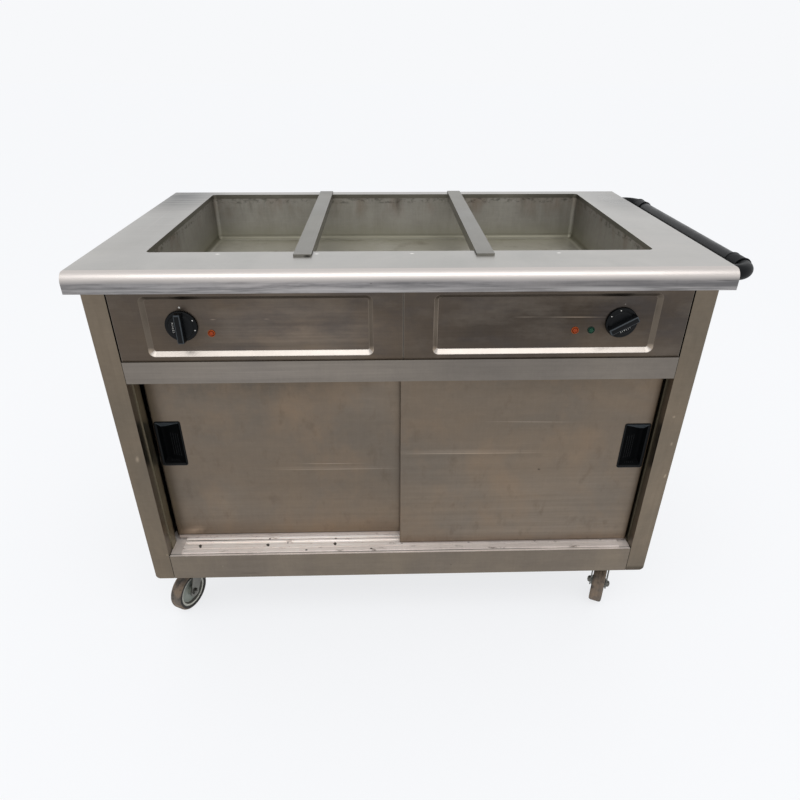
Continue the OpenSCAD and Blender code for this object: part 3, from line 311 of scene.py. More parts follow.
# Fine scratches, then bright spots on the well's front edge, painted highlights at its nicks, then a dark
# spot and broad duller places painted as reflections.
worktop_marks_and_sheen = nose_dents + [
    rub_or_painted_light((0.228, nose_y + 0.01, 0.8995), (0.018, 0.004, 0.002), -0.5),
    rub_or_painted_light((-0.36, -0.30, top_z), (0.12, 0.0012, 0.02), 0.10),
    rub_or_painted_light((0.31, -0.315, top_z), (0.09, 0.001, 0.02), 0.08),
    rub_or_painted_light((-0.58, 0.05, top_z), (0.002, 0.14, 0.02), 0.10),
]
worktop_marks_and_sheen += [rub_or_painted_light((x, y, top_z), (0.0056, 0.0032, 0.005), 1.7)
                 for x, y in ((-0.382, -0.240), (-0.195, -0.242), (-0.014, -0.243), (0.267, -0.244))]
worktop_marks_and_sheen += [
    rub_or_painted_light((0.453, -0.207, top_z), (0.0035, 0.0035, 0.004), -0.6),
    rub_or_painted_light((-0.40, -0.29, top_z), (0.20, 0.05, 0.02), -0.06, tilt=0.2),
    rub_or_painted_light((-0.56, 0.0, top_z), (0.12, 0.45, 0.05), -0.20),
    rub_or_painted_light((-0.60, 0.30, top_z), (0.13, 0.24, 0.05), -0.75),
    rub_or_painted_light((0.55, 0.22, top_z), (0.10, 0.22, 0.05), -0.35),
]
worktop_films = [film_or_painted_light(srgb(156, 156, 152), 0.4, (9, 4, 5), (0.50, 0.75))]
worktop_steel = steel("worktop_sheet", srgb(188, 185, 180), "X", second=srgb(177, 175, 170), rough=0.32,
                      lines=0.012, cloud=0.07, smudge=0.015, wavy=0.5, rubs_or_painted_light=worktop_marks_and_sheen,
                      films_or_painted_light=worktop_films)
# The nose has a painted highlight along its upper edge and is greyer below it. Broad lighter and darker
# places along it are painted reflections.
nose_films_and_highlight = [
    film_or_painted_light(srgb(104, 103, 104), 0.75, (6, 90, 90), (0.46, 0.62)),
    film_or_painted_light(srgb(184, 181, 180), 0.7, (4, 40, 120), (0.42, 0.58), (0.871, 0.867)),
    film_or_painted_light(srgb(206, 199, 194), 1.0, (2, 2, 2), everywhere, (0.8790, 0.8880)),
]
nose_dents_and_sheen = nose_dents + [
    rub_or_painted_light((-0.33, nose_y, 0.868), (0.32, 0.03, 0.020), 0.40),
    rub_or_painted_light((0.38, nose_y, 0.868), (0.36, 0.03, 0.020), -0.45),
]
nose_steel = steel("worktop_nose", srgb(158, 154, 153), "X", second=srgb(140, 138, 138), rough=0.36,
                   lines=0.03, cloud=0.06, films_or_painted_light=nose_films_and_highlight, rubs_or_painted_light=nose_dents_and_sheen)
# The cut edge round the well is painted dark as shade.
lip_painted_shade = steel("well_lip_painted_shade", srgb(126, 123, 114), "X", second=srgb(106, 103, 94), rough=0.45, lines=0.04,
                  cloud=0.12)
# Rounded edges are painted lighter than the sheet: partly wear, partly a painted highlight.
edge_wear_and_highlight = steel("edge_wear_and_highlight", srgb(208, 204, 198), "X", rough=0.34, lines=0.03, cloud=0.06)
worktop_finishes = [worktop_steel, edge_wear_and_highlight, nose_steel, lip_painted_shade]
nose_lean, nose_depth, steepest_top = -0.08, 0.03, 0.5


def worktop_finish(face):
    """The nose along the front and the cut edge round the well have finishes of their own; the cut edge is
    painted dark, a painted shade.
    """
    middle = face.calc_center_median()
    if face.normal.y < nose_lean and middle.y < worktop_low.y + nose_depth:
        return worktop_finishes.index(nose_steel)
    upright = abs(face.normal.z) < steepest_top
    if upright and tank_low.x < middle.x < tank_high.x and tank_low.y < middle.y < tank_high.y:
        return worktop_finishes.index(lip_painted_shade)
    return 0


softened("worktop", worktop_finishes, width=0.0006, edge_finish=1, choose=worktop_finish)

# ---- Well ----
# Welded tank of 1.2 mm sheet with a coved floor, hung under the worktop by its
# rim. Hot water has left lime, brown runs and a film of scale in it.
tank_sheet, tank_rim, cove_r = 0.0012, 0.018, 0.012
tank_corner_r, least_corner_r = 0.0115, 0.002


def round_corners(width, depth, radius, steps=8):
    """Points round a rectangle with rounded corners, about its middle."""
    points = []
    for corner, (sx, sy) in enumerate(((1, 1), (-1, 1), (-1, -1), (1, -1))):
        for step in range(steps + 1):
            angle = math.radians(90 * corner + 90 * step / steps)
            points.append((sx * (width / 2 - radius) + radius * math.cos(angle),
                           sy * (depth / 2 - radius) + radius * math.sin(angle)))
    return points


def lofted(name, rings, close_first=False, close_last=False, angle=35):
    """Skin over rings of points that all have as many points."""
    form = bmesh.new()
    rows = [[form.verts.new(point) for point in ring] for ring in rings]
    for low_row, high_row in zip(rows, rows[1:]):
        for i in range(len(low_row)):
            j = (i + 1) % len(low_row)
            form.faces.new((low_row[i], low_row[j], high_row[j], high_row[i]))
    if close_first:
        form.faces.new(rows[0])
    if close_last:
        form.faces.new(list(reversed(rows[-1])))
    bmesh.ops.recalc_face_normals(form, faces=form.faces)
    for face in form.faces:
        face.smooth = True
    mesh = bpy.data.meshes.new(name + "_mesh")
    form.to_mesh(mesh)
    form.free()
    mesh.set_sharp_from_angle(angle=math.radians(angle))
    return mesh


def tank_ring(outset, z):
    """Ring of the tank at a height, outset from the inner face of its walls."""
    middle_x, middle_y = (tank_low.x + tank_high.x) / 2, (tank_low.y + tank_high.y) / 2
    inner_w = tank_high.x - tank_low.x - 2 * tank_rim
    inner_d = tank_high.y - tank_low.y - 2 * tank_rim
    radius = max(tank_corner_r + outset, least_corner_r)
    return [(middle_x + x, middle_y + y, z)
            for x, y in round_corners(inner_w + 2 * outset, inner_d + 2 * outset, radius)]


tank_floor = tank_low.z + tank_sheet
cove_turns = [math.radians(15 * k) for k in range(7)]
inside = [tank_ring(-cove_r * (1 - math.cos(a)), tank_floor + cove_r * (1 - math.sin(a)))
          for a in cove_turns]
outside = [tank_ring(tank_sheet - cove_r * (1 - math.cos(a)), tank_low.z + cove_r * (1 - math.sin(a)))
           for a in cove_turns]
under_rim = tank_high.z - tank_sheet
rim = [tank_ring(0, tank_high.z), tank_ring(tank_rim, tank_high.z), tank_ring(tank_rim, under_rim),
       tank_ring(tank_sheet, under_rim)]
tank = lofted("well_tank", inside[::-1] + rim + outside, close_first=True, close_last=True)
# From the top: brown runs, pale runs, soot and the dark line under the rim, a painted shadow. Then
# the wall turns duller downwards, a darker band painted over the cove hides its highlight, and the floor has
# scale, lime and stains.
well_stains_and_shade = [
    film_or_painted_light(srgb(128, 108, 94), 0.55, (13, 13, 6), (0.50, 0.70), (0.83, 0.87)),
    film_or_painted_light(srgb(186, 182, 176), 0.25, (34, 34, 2.2), (0.48, 0.72)),
    film_or_painted_light(srgb(84, 78, 70), 0.60, (30, 30, 7), (0.55, 0.72), (0.835, 0.875)),
    film_or_painted_light(srgb(60, 55, 50), 0.65, (60, 60, 110), (0.50, 0.66), (0.8745, 0.8790)),
    film_or_painted_light(srgb(150, 148, 130), 0.6, (3, 3, 3), everywhere, (0.83, 0.79)),
    film_or_painted_light(srgb(124, 121, 107), 0.9, (3, 3, 3), everywhere, (0.7950, 0.7880)),
    film_or_painted_light(srgb(190, 187, 175), 0.9, (3, 3, 3), (0.05, 0.4), (0.7830, 0.7803)),
    film_or_painted_light(srgb(206, 204, 196), 0.6, (9, 9, 9), (0.50, 0.72), (0.7812, 0.7803)),
    film_or_painted_light(srgb(116, 102, 80), 0.5, (14, 14, 14), (0.55, 0.75), (0.7812, 0.7803)),
]
well_steel = steel("well_sheet", srgb(162, 159, 153), "Z", second=srgb(150, 147, 139), rough=0.5, lines=0.03,
                   cloud=0.12, smudge=0.08, films_or_painted_light=well_stains_and_shade)
show(tank, "well_liner", "trolley", well_steel, ("well_tank",))
# A dark patch at the left bar's front end is a painted shadow under its lifted end.
bar_end_shadow = [rub_or_painted_light((-0.211, -0.2585, 0.9008), (0.009, 0.004, 0.0016), -1.2)]
bar_steel = steel("bar_sheet", srgb(142, 139, 131), "Y", second=srgb(130, 128, 122), rough=0.36, lines=0.03,
                  cloud=0.08, rubs_or_painted_light=bar_end_shadow)
# The bars' rounded edges are painted lighter, a painted highlight.
bar_edge_highlight = steel("bar_edge_highlight", srgb(172, 168, 160), "Y", rough=0.36, lines=0.04, cloud=0.08)
for side in ("left", "right"):
    softened("divider_bar_" + side, [bar_steel, bar_edge_highlight], width=0.0007, edge_finish=1)

# ---- Cabinet ----
# Folded side panels whose front flanges are the corner posts, a back panel,
# and the rails above and below the doors, all in brushed stainless sheet.
front_y, post_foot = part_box("side_panel_right")[0].yz
# Small bright spots, a broad lighter place on the right post painted as a reflection, and a darker band at
# the right post's foot.
post_marks_and_sheen = [
    rub_or_painted_light((0.5256, front_y, 0.5817), (0.0040, 0.02, 0.0040), 0.9),
    rub_or_painted_light((0.5357, front_y, 0.5148), (0.0030, 0.02, 0.0060), 0.8),
    rub_or_painted_light((0.5401, front_y, 0.4309), (0.0030, 0.02, 0.0070), 1.2, tilt=0.2),
    rub_or_painted_light((-0.5864, front_y, 0.4935), (0.0050, 0.02, 0.0100), 0.7, tilt=0.2),
    rub_or_painted_light((-0.5748, front_y, 0.2249), (0.0022, 0.02, 0.0022), 1.2),
    rub_or_painted_light((0.45, front_y, 0.38), (0.60, 0.10, 0.30), 0.16),
    rub_or_painted_light((0.53, front_y, post_foot + 0.006), (0.09, 0.02, 0.0090), -0.6),
]
post_steel = steel("post_sheet", srgb(124, 112, 97), "Z", second=srgb(112, 103, 91), rough=0.38, lines=0.035,
                   cloud=0.10, smudge=0.07, rubs_or_painted_light=post_marks_and_sheen)
# Folded edges are painted lighter than the sheet, a painted highlight.
fold_highlight = steel("fold_highlight", srgb(168, 160, 150), "X", rough=0.32, lines=0.03, cloud=0.10)
outer_steel = steel("outer_sheet", srgb(136, 128, 117), "Z", second=srgb(127, 120, 110), rough=0.36,
                    lines=0.05, cloud=0.05, smudge=0.03)
# The left channel is painted much lighter than the right one: painted light on the left and painted shade on
# the right.
channel_steel = {side: steel("channel_sheet_" + side, tone, "Z", rough=0.42, lines=0.06, cloud=0.10)
                 for side, tone in (("left", srgb(152, 145, 126)), ("right", srgb(110, 105, 90)))}


side_finishes = [post_steel, fold_highlight, outer_steel]
squarely = 0.7


def post_or_end(face):
    """The flat ends of the cabinet are cleaner than the posts in front of them."""
    return side_finishes.index(outer_steel) if abs(face.normal.x) > squarely else 0


outwards = {"left": -1, "right": 1}
post_inner = {"left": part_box("control_panel_left")[0].x, "right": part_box("control_panel_right")[1].x}
joint = 0.0012
for side, way in outwards.items():
    softened("side_panel_" + side, side_finishes, width=0.0007, choose=post_or_end,
             cut_back=((0, post_inner[side], post_inner[side] + way * joint),))
    softened("door_channel_" + side, [channel_steel[side], fold_highlight], width=0.0006, edge_finish=1)
softened("back_panel", outer_steel)
rail_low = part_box("header_rail")[0]
# A broad lighter place on the left of the rail is a painted reflection.
rail_sheen = [rub_or_painted_light((-0.30, rail_low.y, rail_low.z + 0.02), (0.34, 0.03, 0.06), 0.28)]
rail_steel = steel("rail_sheet", srgb(126, 119, 111), "X", second=srgb(117, 111, 105), rough=0.34,
                   lines=0.05, cloud=0.08, rubs_or_painted_light=rail_sheen)
rail_ends = [(0, post_inner[side], post_inner[side] - way * joint) for side, way in outwards.items()]
softened("header_rail", [rail_steel, fold_highlight], width=0.0007, edge_finish=1, cut_back=rail_ends)
plinth_rubs = [
    rub_or_painted_light((-0.452, front_y, 0.187), (0.0016, 0.01, 0.0016), 1.3),
    rub_or_painted_light((-0.39, front_y, 0.163), (0.03, 0.01, 0.002), -0.35),
    rub_or_painted_light((0.083, front_y, 0.179), (0.003, 0.01, 0.0025), -0.4),
]
plinth_steel = steel("plinth_sheet", srgb(131, 120, 106), "X", second=srgb(119, 110, 100), rough=0.36,
                     lines=0.05, cloud=0.10, smudge=0.07, rubs_or_painted_light=plinth_rubs)
sill_rubs = [rub_or_painted_light((-0.03, -0.3236, 0.2205), (1.3, 0.0017, 0.004), -1.5)]
sill_painted_highlight = steel("sill_sheet_painted_highlight", srgb(246, 236, 229), "X", second=srgb(228, 219, 212), rough=0.5, lines=0.05,
                   cloud=0.08, metal=0.5, rubs_or_painted_light=sill_rubs)


def plinth_or_sill(face):
    """The plinth rail's upper fold, the sill, is painted much lighter than its front, a painted highlight
    where light from above falls on it.
    """
    return 1 if face.normal.z > squarely else 0


softened("plinth_rail", [plinth_steel, sill_painted_highlight], width=0.0008, edge_finish=1, choose=plinth_or_sill)

# ---- Control panels ----
# Two panels pressed from stainless sheet, each with a shallow round-cornered
# recess for its knob and lamps. A printed white dot marks each knob's zero.
recess_depth, recess_slope, recess_bend, recess_corner_r = 0.008, 0.010, 0.004, 0.013
recess_from_post, recess_from_split = 0.055, 0.055
recess_above_rail, recess_below_lip = 0.009, 0.011
slope_ease, faces_up, lip_of_slope, foot_of_slope = 0.14, 0.32, 0.0006, 0.0004
panel_fold, panel_edge_r, panel_overlap = 0.014, 0.0010, 0.0003
dot_below_worktop, print_lift = 0.036, 0.00015


def marks_between(start, end, edges, fine=0.0008, coarse=0.03):
    """Places for grid lines from start to end, close together near the pressed edges."""
    spots = {start, end}
    for low_edge, high_edge in edges:
        steps = round((high_edge - low_edge) / fine)
        spots.update(low_edge + (high_edge - low_edge) * k / steps for k in range(steps + 1))
    spread = sorted(spots)
    for a, b in list(zip(spread, spread[1:])):
        parts = int((b - a) / coarse) + 1
        spots.update(a + (b - a) * k / parts for k in range(parts))
    return sorted(spot for spot in spots if start <= spot <= end)


def printed_dot(form, radius, place, finish, sides=24):
    """Adds a flat printed dot; place turns the print's own x and y into a point."""
    turns = [math.radians(360 / sides * k) for k in range(sides)]
    ring = [form.verts.new(place(radius * math.cos(a), radius * math.sin(a))) for a in turns]
    form.faces.new(ring).material_index = finish


def pressed_panel(node, print_finish, dot_x, dot_r):
    """Panel with its recess, from the post to just past the split, and a printed dot above its knob."""
    finishes = [panel_steel, pressed_edge, print_finish, lit_edge, panel_fold_highlight]
    slope_number, print_number, lit_number, fold_number = 1, 2, 3, 4
    low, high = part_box(node)
    at_left = node.endswith("left")
    start_x = low.x + (joint if at_left else -panel_overlap)
    end_x = high.x - (-panel_overlap if at_left else joint)
    x_range = (low.x + (recess_from_post if at_left else recess_from_split),
               high.x - (recess_from_split if at_left else recess_from_post))
    z_range = (low.z + recess_above_rail, worktop_low.z - recess_below_lip)

    def inside_edge(x, z):
        """How far a point lies inside the recess's outline."""
        over_x = abs(x - sum(x_range) / 2) - (x_range[1] - x_range[0]) / 2 + recess_corner_r
        over_z = abs(z - sum(z_range) / 2) - (z_range[1] - z_range[0]) / 2 + recess_corner_r
        return recess_corner_r - math.hypot(max(over_x, 0), max(over_z, 0)) - min(max(over_x, over_z), 0)

    def pressed(x, z):
        """Depth of the sheet at a point: a straight slope that bends softly at its top and foot."""
        share = min(max(inside_edge(x, z) / recess_slope, 0), 1)
        steep = 1 / (1 - slope_ease)
        if share < slope_ease:
            depth = steep * share * share / (2 * slope_ease)
        elif share > 1 - slope_ease:
            depth = 1 - steep * (1 - share) ** 2 / (2 * slope_ease)
        else:
            depth = steep * (share - slope_ease / 2)
        return low.y + recess_depth * depth

    band = recess_slope + recess_bend
    x_bends = ((x_range[0], x_range[0] + band), (x_range[1] - band, x_range[1]))
    z_bends = ((z_range[0], z_range[0] + band), (z_range[1] - band, z_range[1]))
    columns = marks_between(start_x, end_x, x_bends)
    rows = marks_between(low.z, high.z, z_bends)
    form = bmesh.new()
    grid = [[form.verts.new((x, pressed(x, z), z)) for x in columns] for z in rows]
    for r in range(len(rows) - 1):
        for c in range(len(columns) - 1):
            face = form.faces.new((grid[r][c], grid[r][c + 1], grid[r + 1][c + 1], grid[r + 1][c]))
            face.smooth = True
            middle = face.calc_center_median()
            face.normal_update()
            # Slopes that face up take the much lighter finish, a painted highlight.
            if lip_of_slope < inside_edge(middle.x, middle.z) < recess_slope - foot_of_slope:
                face.material_index = lit_number if face.normal.z > faces_up else slope_number
    rim_edges = [edge for edge in form.edges if edge.is_boundary]
    folded = bmesh.ops.extrude_edge_only(form, edges=rim_edges)
    for vert in folded["geom"]:
        if isinstance(vert, bmesh.types.BMVert):
            vert.co.y += panel_fold
    dot_y = low.y + recess_depth - print_lift
    dot_z = worktop_low.z - dot_below_worktop
    printed_dot(form, dot_r, lambda x, z: (dot_x + x, dot_y, dot_z + z), print_number)
    mesh = bpy.data.meshes.new(node + "_mesh")
    form.to_mesh(mesh)
    form.free()
    piece = show(mesh, node + "_sheet", "trolley", finishes, (node,))
    edge = piece.modifiers.new("edge", "BEVEL")
    edge.width = panel_edge_r
    edge.segments = 3
    edge.limit_method = "ANGLE"
    edge.angle_limit = math.radians(60)
    edge.material = fold_number


def coat(name, shade, rough, shine=0.5, grain_size=900.0, bump=0.15, uneven=0.2):
    """Moulded plastic, rubber, paint or print: an even colour with a fine grain and slight wear."""
    mat, tree, shader, here = new_material(name)
    grain = noise(tree, here, size=grain_size)
    patchy = noise(tree, here, size=35.0, detail=5.0)
    level = spread_over(tree, patchy, 1 - uneven, 1 + uneven, 0.3, 0.7)
    tone = add_node(tree, "VectorMath", {0: shade, 3: level}, operation="SCALE").outputs[0]
    tree.links.new(tone, shader.inputs["Base Color"])
    tree.links.new(spread_over(tree, patchy, rough - 0.06, rough + 0.1, 0.3, 0.7), shader.inputs["Roughness"])
    shader.inputs["Specular IOR Level"].default_value = shine
    pits = add_node(tree, "Bump", {"Strength": bump, "Distance": 0.0004, "Height": grain})
    tree.links.new(pits.outputs[0], shader.inputs["Normal"])
    return mat


panel_face = front_y + recess_depth
# Scratches, then broad lighter and darker places painted where the panels mirror light or dark things.
panel_marks_and_reflections = [
    rub_or_painted_light((0.295, panel_face, 0.8), (0.075, 0.02, 0.0018), 1.5, tilt=0.01),
    rub_or_painted_light((0.20, panel_face, 0.801), (0.03, 0.02, 0.0012), 1.1),
    rub_or_painted_light((-0.386, panel_face, 0.801), (0.007, 0.02, 0.0014), 1.9),
    rub_or_painted_light((-0.287, panel_face, 0.801), (0.007, 0.02, 0.0014), 1.9),
    rub_or_painted_light((-0.22, panel_face, 0.770), (0.24, 0.04, 0.07), 0.88),
    rub_or_painted_light((0.14, panel_face, 0.79), (0.26, 0.03, 0.09), -0.26),
    rub_or_painted_light((-0.06, front_y, 0.79), (0.06, 0.03, 0.12), -0.10),
    rub_or_painted_light((-0.28, panel_face, 0.815), (0.16, 0.03, 0.05), 0.35),
    rub_or_painted_light((-0.43, panel_face, 0.775), (0.08, 0.03, 0.05), -0.30),
    rub_or_painted_light((0.35, panel_face, 0.81), (0.20, 0.03, 0.06), -0.45),
]
panel_films = [
    film_or_painted_light(srgb(118, 110, 101), 0.5, (5, 5, 12), (0.50, 0.75)),
    film_or_painted_light(srgb(68, 66, 68), 0.5, (4, 4, 12), (0.52, 0.72)),
]
panel_steel = steel("panel_sheet", srgb(95, 84, 73), "X", second=srgb(84, 77, 71), rough=0.36, lines=0.05,
                    cloud=0.08, rubs_or_painted_light=panel_marks_and_reflections, films_or_painted_light=panel_films)
# Painted highlights: the recesses' lower corners and the slopes beside the split are painted bright, the
# slopes that face up get a much lighter finish, and the panels' folded edges are painted lighter.
split_x = (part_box("control_panel_left")[1].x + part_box("control_panel_right")[0].x) / 2
slope_y, slope_z = panel_face - recess_depth / 2, 0.79
recess_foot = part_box("control_panel_left")[0].z + recess_above_rail
recess_sides = [post_inner["left"] + recess_from_post, split_x - recess_from_split,
                split_x + recess_from_split, post_inner["right"] - recess_from_post]
pressed_edge_highlights = [rub_or_painted_light((x, slope_y, recess_foot + 0.006), (0.014, 0.02, 0.014), 3.0) for x in recess_sides]
pressed_edge_highlights += [rub_or_painted_light((split_x - way * 0.060, slope_y, slope_z), (0.02, 0.03, 0.075), gain)
              for way, gain in ((1, 0.22), (-1, 0.75))]
pressed_edge = steel("pressed_edge", srgb(106, 97, 87), "Z", rough=0.36, lines=0.03, cloud=0.06,
                     rubs_or_painted_light=pressed_edge_highlights)
lit_edge = steel("pressed_edge_painted_highlight", srgb(190, 182, 174), "X", rough=0.36, lines=0.03, cloud=0.05)
panel_fold_highlight = steel("panel_fold_highlight", srgb(128, 121, 112), "X", rough=0.36, lines=0.03, cloud=0.06)
print_white = coat("print_white", srgb(206, 204, 198), 0.5)
print_worn = coat("print_worn", srgb(112, 106, 98), 0.5)
knob_places = {side: (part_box("knob_" + side)[0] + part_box("knob_" + side)[1]) / 2 for side in outwards}
dot_beside, dot_r, worn_dot_r = 0.0015, 0.0018, 0.0012
pressed_panel("control_panel_left", print_white, knob_places["left"].x + dot_beside, dot_r)
pressed_panel("control_panel_right", print_worn, knob_places["right"].x + dot_beside, worn_dot_r)

# ---- Knobs ----
# Moulded black thermostat knobs: a thin skirt with two printed dots, a low
# boss with a printed scale and a straight grip across it. Each sits on a spindle.
# The grip's edges are painted lighter, partly wear and partly a painted highlight.
knob_r = (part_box("knob_left")[1].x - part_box("knob_left")[0].x) / 2
knob_turns = {"left": 0.0, "right": math.radians(240)}
knob_skirt = [(0.0, 0.0008), (knob_r - 0.0012, 0.0008), (knob_r, 0.0016), (knob_r, 0.0034),
              (knob_r - 0.0005, 0.0043), (knob_r - 0.0016, 0.0051), (knob_r - 0.0036, 0.0057),
              (0.0243, 0.0060), (0.0237, 0.0066), (0.0228, 0.0082), (0.0216, 0.0089), (0.018, 0.0092),
              (0.0, 0.0096)]
grip_section = [(0.0076, 0.0080), (0.0060, 0.0203), (0.0053, 0.0214), (0.0042, 0.0220)]
grip_ends = [(-0.0286, 0.80, -0.0026), (-0.0279, 0.92, -0.0009), (-0.0262, 1.0, 0.0),
             (0.0262, 1.0, 0.0), (0.0279, 0.92, -0.0009), (0.0286, 0.80, -0.0026)]
grip_foot = 0.01
spindle_r, spindle_start, spindle_end = 0.003, 0.010, -0.012
skirt_dot_r, skirt_dot_out, skirt_print, skirt_bearings = 0.0011, 0.0262, 0.0061, (62, 106)
scale_size, scale_out, scale_print = 0.0048, 0.0132, 0.0098
mark_number, grip_highlight_number = 1, 2
same_point = 1e-7


def turned(form, profile, place, sides=64, finishes=None):
    """Adds a turned shape. profile has points of (radius, distance along the axis), finishes a number for
    each band between them."""
    rows = []
    for radius, along in profile:
        turns = [2 * math.pi * k / sides for k in range(sides if radius > same_point else 1)]
        rows.append([form.verts.new(place(radius * math.cos(a), radius * math.sin(a), along))
                     for a in turns])
    for band, (row, next_row) in enumerate(zip(rows, rows[1:])):
        for i in range(sides):
            j = (i + 1) % sides
            corners = (row[i % len(row)], row[j % len(row)], next_row[j % len(next_row)],
                       next_row[i % len(next_row)])
            face = form.faces.new(list(dict.fromkeys(corners)))
            face.smooth = True
            face.material_index = finishes[band] if finishes else 0


def printed(form, words, size, place, finish):
    """Adds flat printed characters; place turns the print's own x and y into a point."""
    curve = bpy.data.curves.new("print", "FONT")
    curve.body = words
    curve.size = size
    curve.align_x = "CENTER"
    curve.align_y = "CENTER"
    curve.resolution_u = 3
    holder = bpy.data.objects.new("print", curve)
    bpy.context.scene.collection.objects.link(holder)
    flat = bpy.data.meshes.new_from_object(holder)
    bpy.data.objects.remove(holder)
    points = [form.verts.new(place(vert.co.x, vert.co.y)) for vert in flat.vertices]
    for polygon in flat.polygons:
        form.faces.new([points[i] for i in polygon.vertices]).material_index = finish


def finished_mesh(form, name, angle=35):
    """Mesh of a form, with a sharp edge wherever it turns by more than the angle in degrees."""
    mesh = bpy.data.meshes.new(name + "_mesh")
    form.to_mesh(mesh)
    form.free()
    mesh.set_sharp_from_angle(angle=math.radians(angle))
    return mesh


def moulded_knob(side):
    """Knob turned to where it stands at rest: u runs across its grip, v along it and w outwards."""
    middle, turn_by = knob_places[side], knob_turns[side]

    def place(u, v, w):
        return Vector((middle.x + u * math.cos(turn_by) + v * math.sin(turn_by), panel_face - w,
                       middle.z - u * math.sin(turn_by) + v * math.cos(turn_by)))

    form = bmesh.new()
    turned(form, knob_skirt, place)
    outline = [(-half, height) for half, height in grip_section]
    outline += [(half, height) for half, height in reversed(grip_section)]
    rows = []
    for v, narrow, drop in grip_ends:
        rows.append([form.verts.new(place(u * narrow, v, height + (drop if height > grip_foot else 0)))
                     for u, height in outline])
    for band, (row, next_row) in enumerate(zip(rows, rows[1:])):
        for k, corners in enumerate(zip(row, row[1:], next_row[1:], next_row)):
            face = form.faces.new(corners)
            face.smooth = True
            # The grip's edge bands take the lighter finish: wear and a painted highlight.
            is_edge = k in (1, 2, 4, 5) or (band != 2 and k == 3)
            face.material_index = grip_highlight_number if is_edge else 0
    for cap in (rows[0], rows[-1]):
        form.faces.new(cap)
    turned(form, [(spindle_r, spindle_start), (spindle_r, spindle_end), (0.0, spindle_end)], place, sides=24)
    bmesh.ops.recalc_face_normals(form, faces=form.faces)
    for bearing in skirt_bearings:
        u = skirt_dot_out * math.sin(math.radians(bearing))
        v = skirt_dot_out * math.cos(math.radians(bearing))
        printed_dot(form, skirt_dot_r, lambda x, y: place(u + x, v + y, skirt_print), mark_number, sides=18)
    printed(form, "1 2 3 4 5 6", scale_size, lambda x, y: place(-scale_out - y, x, scale_print), mark_number)
    return finished_mesh(form, "knob_" + side)


black_plastic = coat("black_moulding", srgb(9, 11, 13), 0.42, shine=0.14)
plastic_highlight_and_wear = coat("black_moulding_highlight_and_wear", srgb(56, 61, 65), 0.45, shine=0.2)
for side in outwards:
    show(moulded_knob(side), "knob_%s_moulding" % side, "knob_" + side,
         [black_plastic, print_white, plastic_highlight_and_wear], ("knob_" + side,))

# ---- Lamps ----
# Clip-in indicator lamps, each a one-piece tinted lens with a rounded collar,
# a sunk ring and a low dome.
lens_profile = [(0.0, -0.0285), (0.0058, -0.0285), (0.0058, 0.0), (0.0070, 0.0), (0.0070, 0.0011),
                (0.0066, 0.0018), (0.0060, 0.0020), (0.0055, 0.0016), (0.0052, 0.0008), (0.0049, 0.0009),
                (0.0047, 0.0022), (0.0040, 0.0032), (0.0026, 0.0038), (0.0, 0.0040)]
lens_bands = [1, 1, 0, 0, 0, 0, 0, 1, 1, 1, 2, 2, 2]


def lens(name, shade):
    """Tinted plastic that lets a little light in."""
    mat, tree, shader, here = new_material(name)
    depth = noise(tree, here, size=420.0, detail=2.0)
    tone = add_node(tree, "VectorMath", {0: shade, 3: spread_over(tree, depth, 0.75, 1.25)},
                    operation="SCALE").outputs[0]
    tree.links.new(tone, shader.inputs["Base Color"])
    shader.inputs["Roughness"].default_value = 0.12
    shader.inputs["Specular IOR Level"].default_value = 0.2
    shader.inputs["Subsurface Weight"].default_value = 0.15
    shader.inputs["Subsurface Radius"].default_value = (0.002, 0.001, 0.0005)
    return mat


# The sunk ring and the hidden body are painted darker than the collar and the dome, a painted shade.
amber = [lens("amber_collar", srgb(158, 72, 24)), lens("amber_painted_shade", srgb(66, 24, 4)),
         lens("amber_dome", srgb(136, 50, 8))]
green = [lens("green_collar", srgb(28, 56, 46)), lens("green_painted_shade", srgb(6, 24, 16)),
         lens("green_dome", srgb(12, 58, 40))]


def indicator_lamp(node, finish):
    """A lamp's lens, turned about the middle of its CAD piece."""
    low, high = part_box(node)
    middle = (low + high) / 2

    def place(u, v, w):
        return Vector((middle.x + u, panel_face - w, middle.z + v))

    form = bmesh.new()
    turned(form, lens_profile, place, sides=48, finishes=lens_bands)
    bmesh.ops.recalc_face_normals(form, faces=form.faces)
    show(finished_mesh(form, node), node + "_lens", "trolley", finish, (node,))


indicator_lamp("lamp_amber_left", amber)
indicator_lamp("lamp_amber_right", amber)
indicator_lamp("lamp_green_right", green)

# ---- Doors ----
# Two tray-shaped doors in 1.2 mm stainless sheet, closed at the back by a
# plain inner sheet. Each hangs on nylon guides and has a black flush pull.
left_y, right_y = (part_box("door_%s_skin" % side)[0].y for side in outwards)
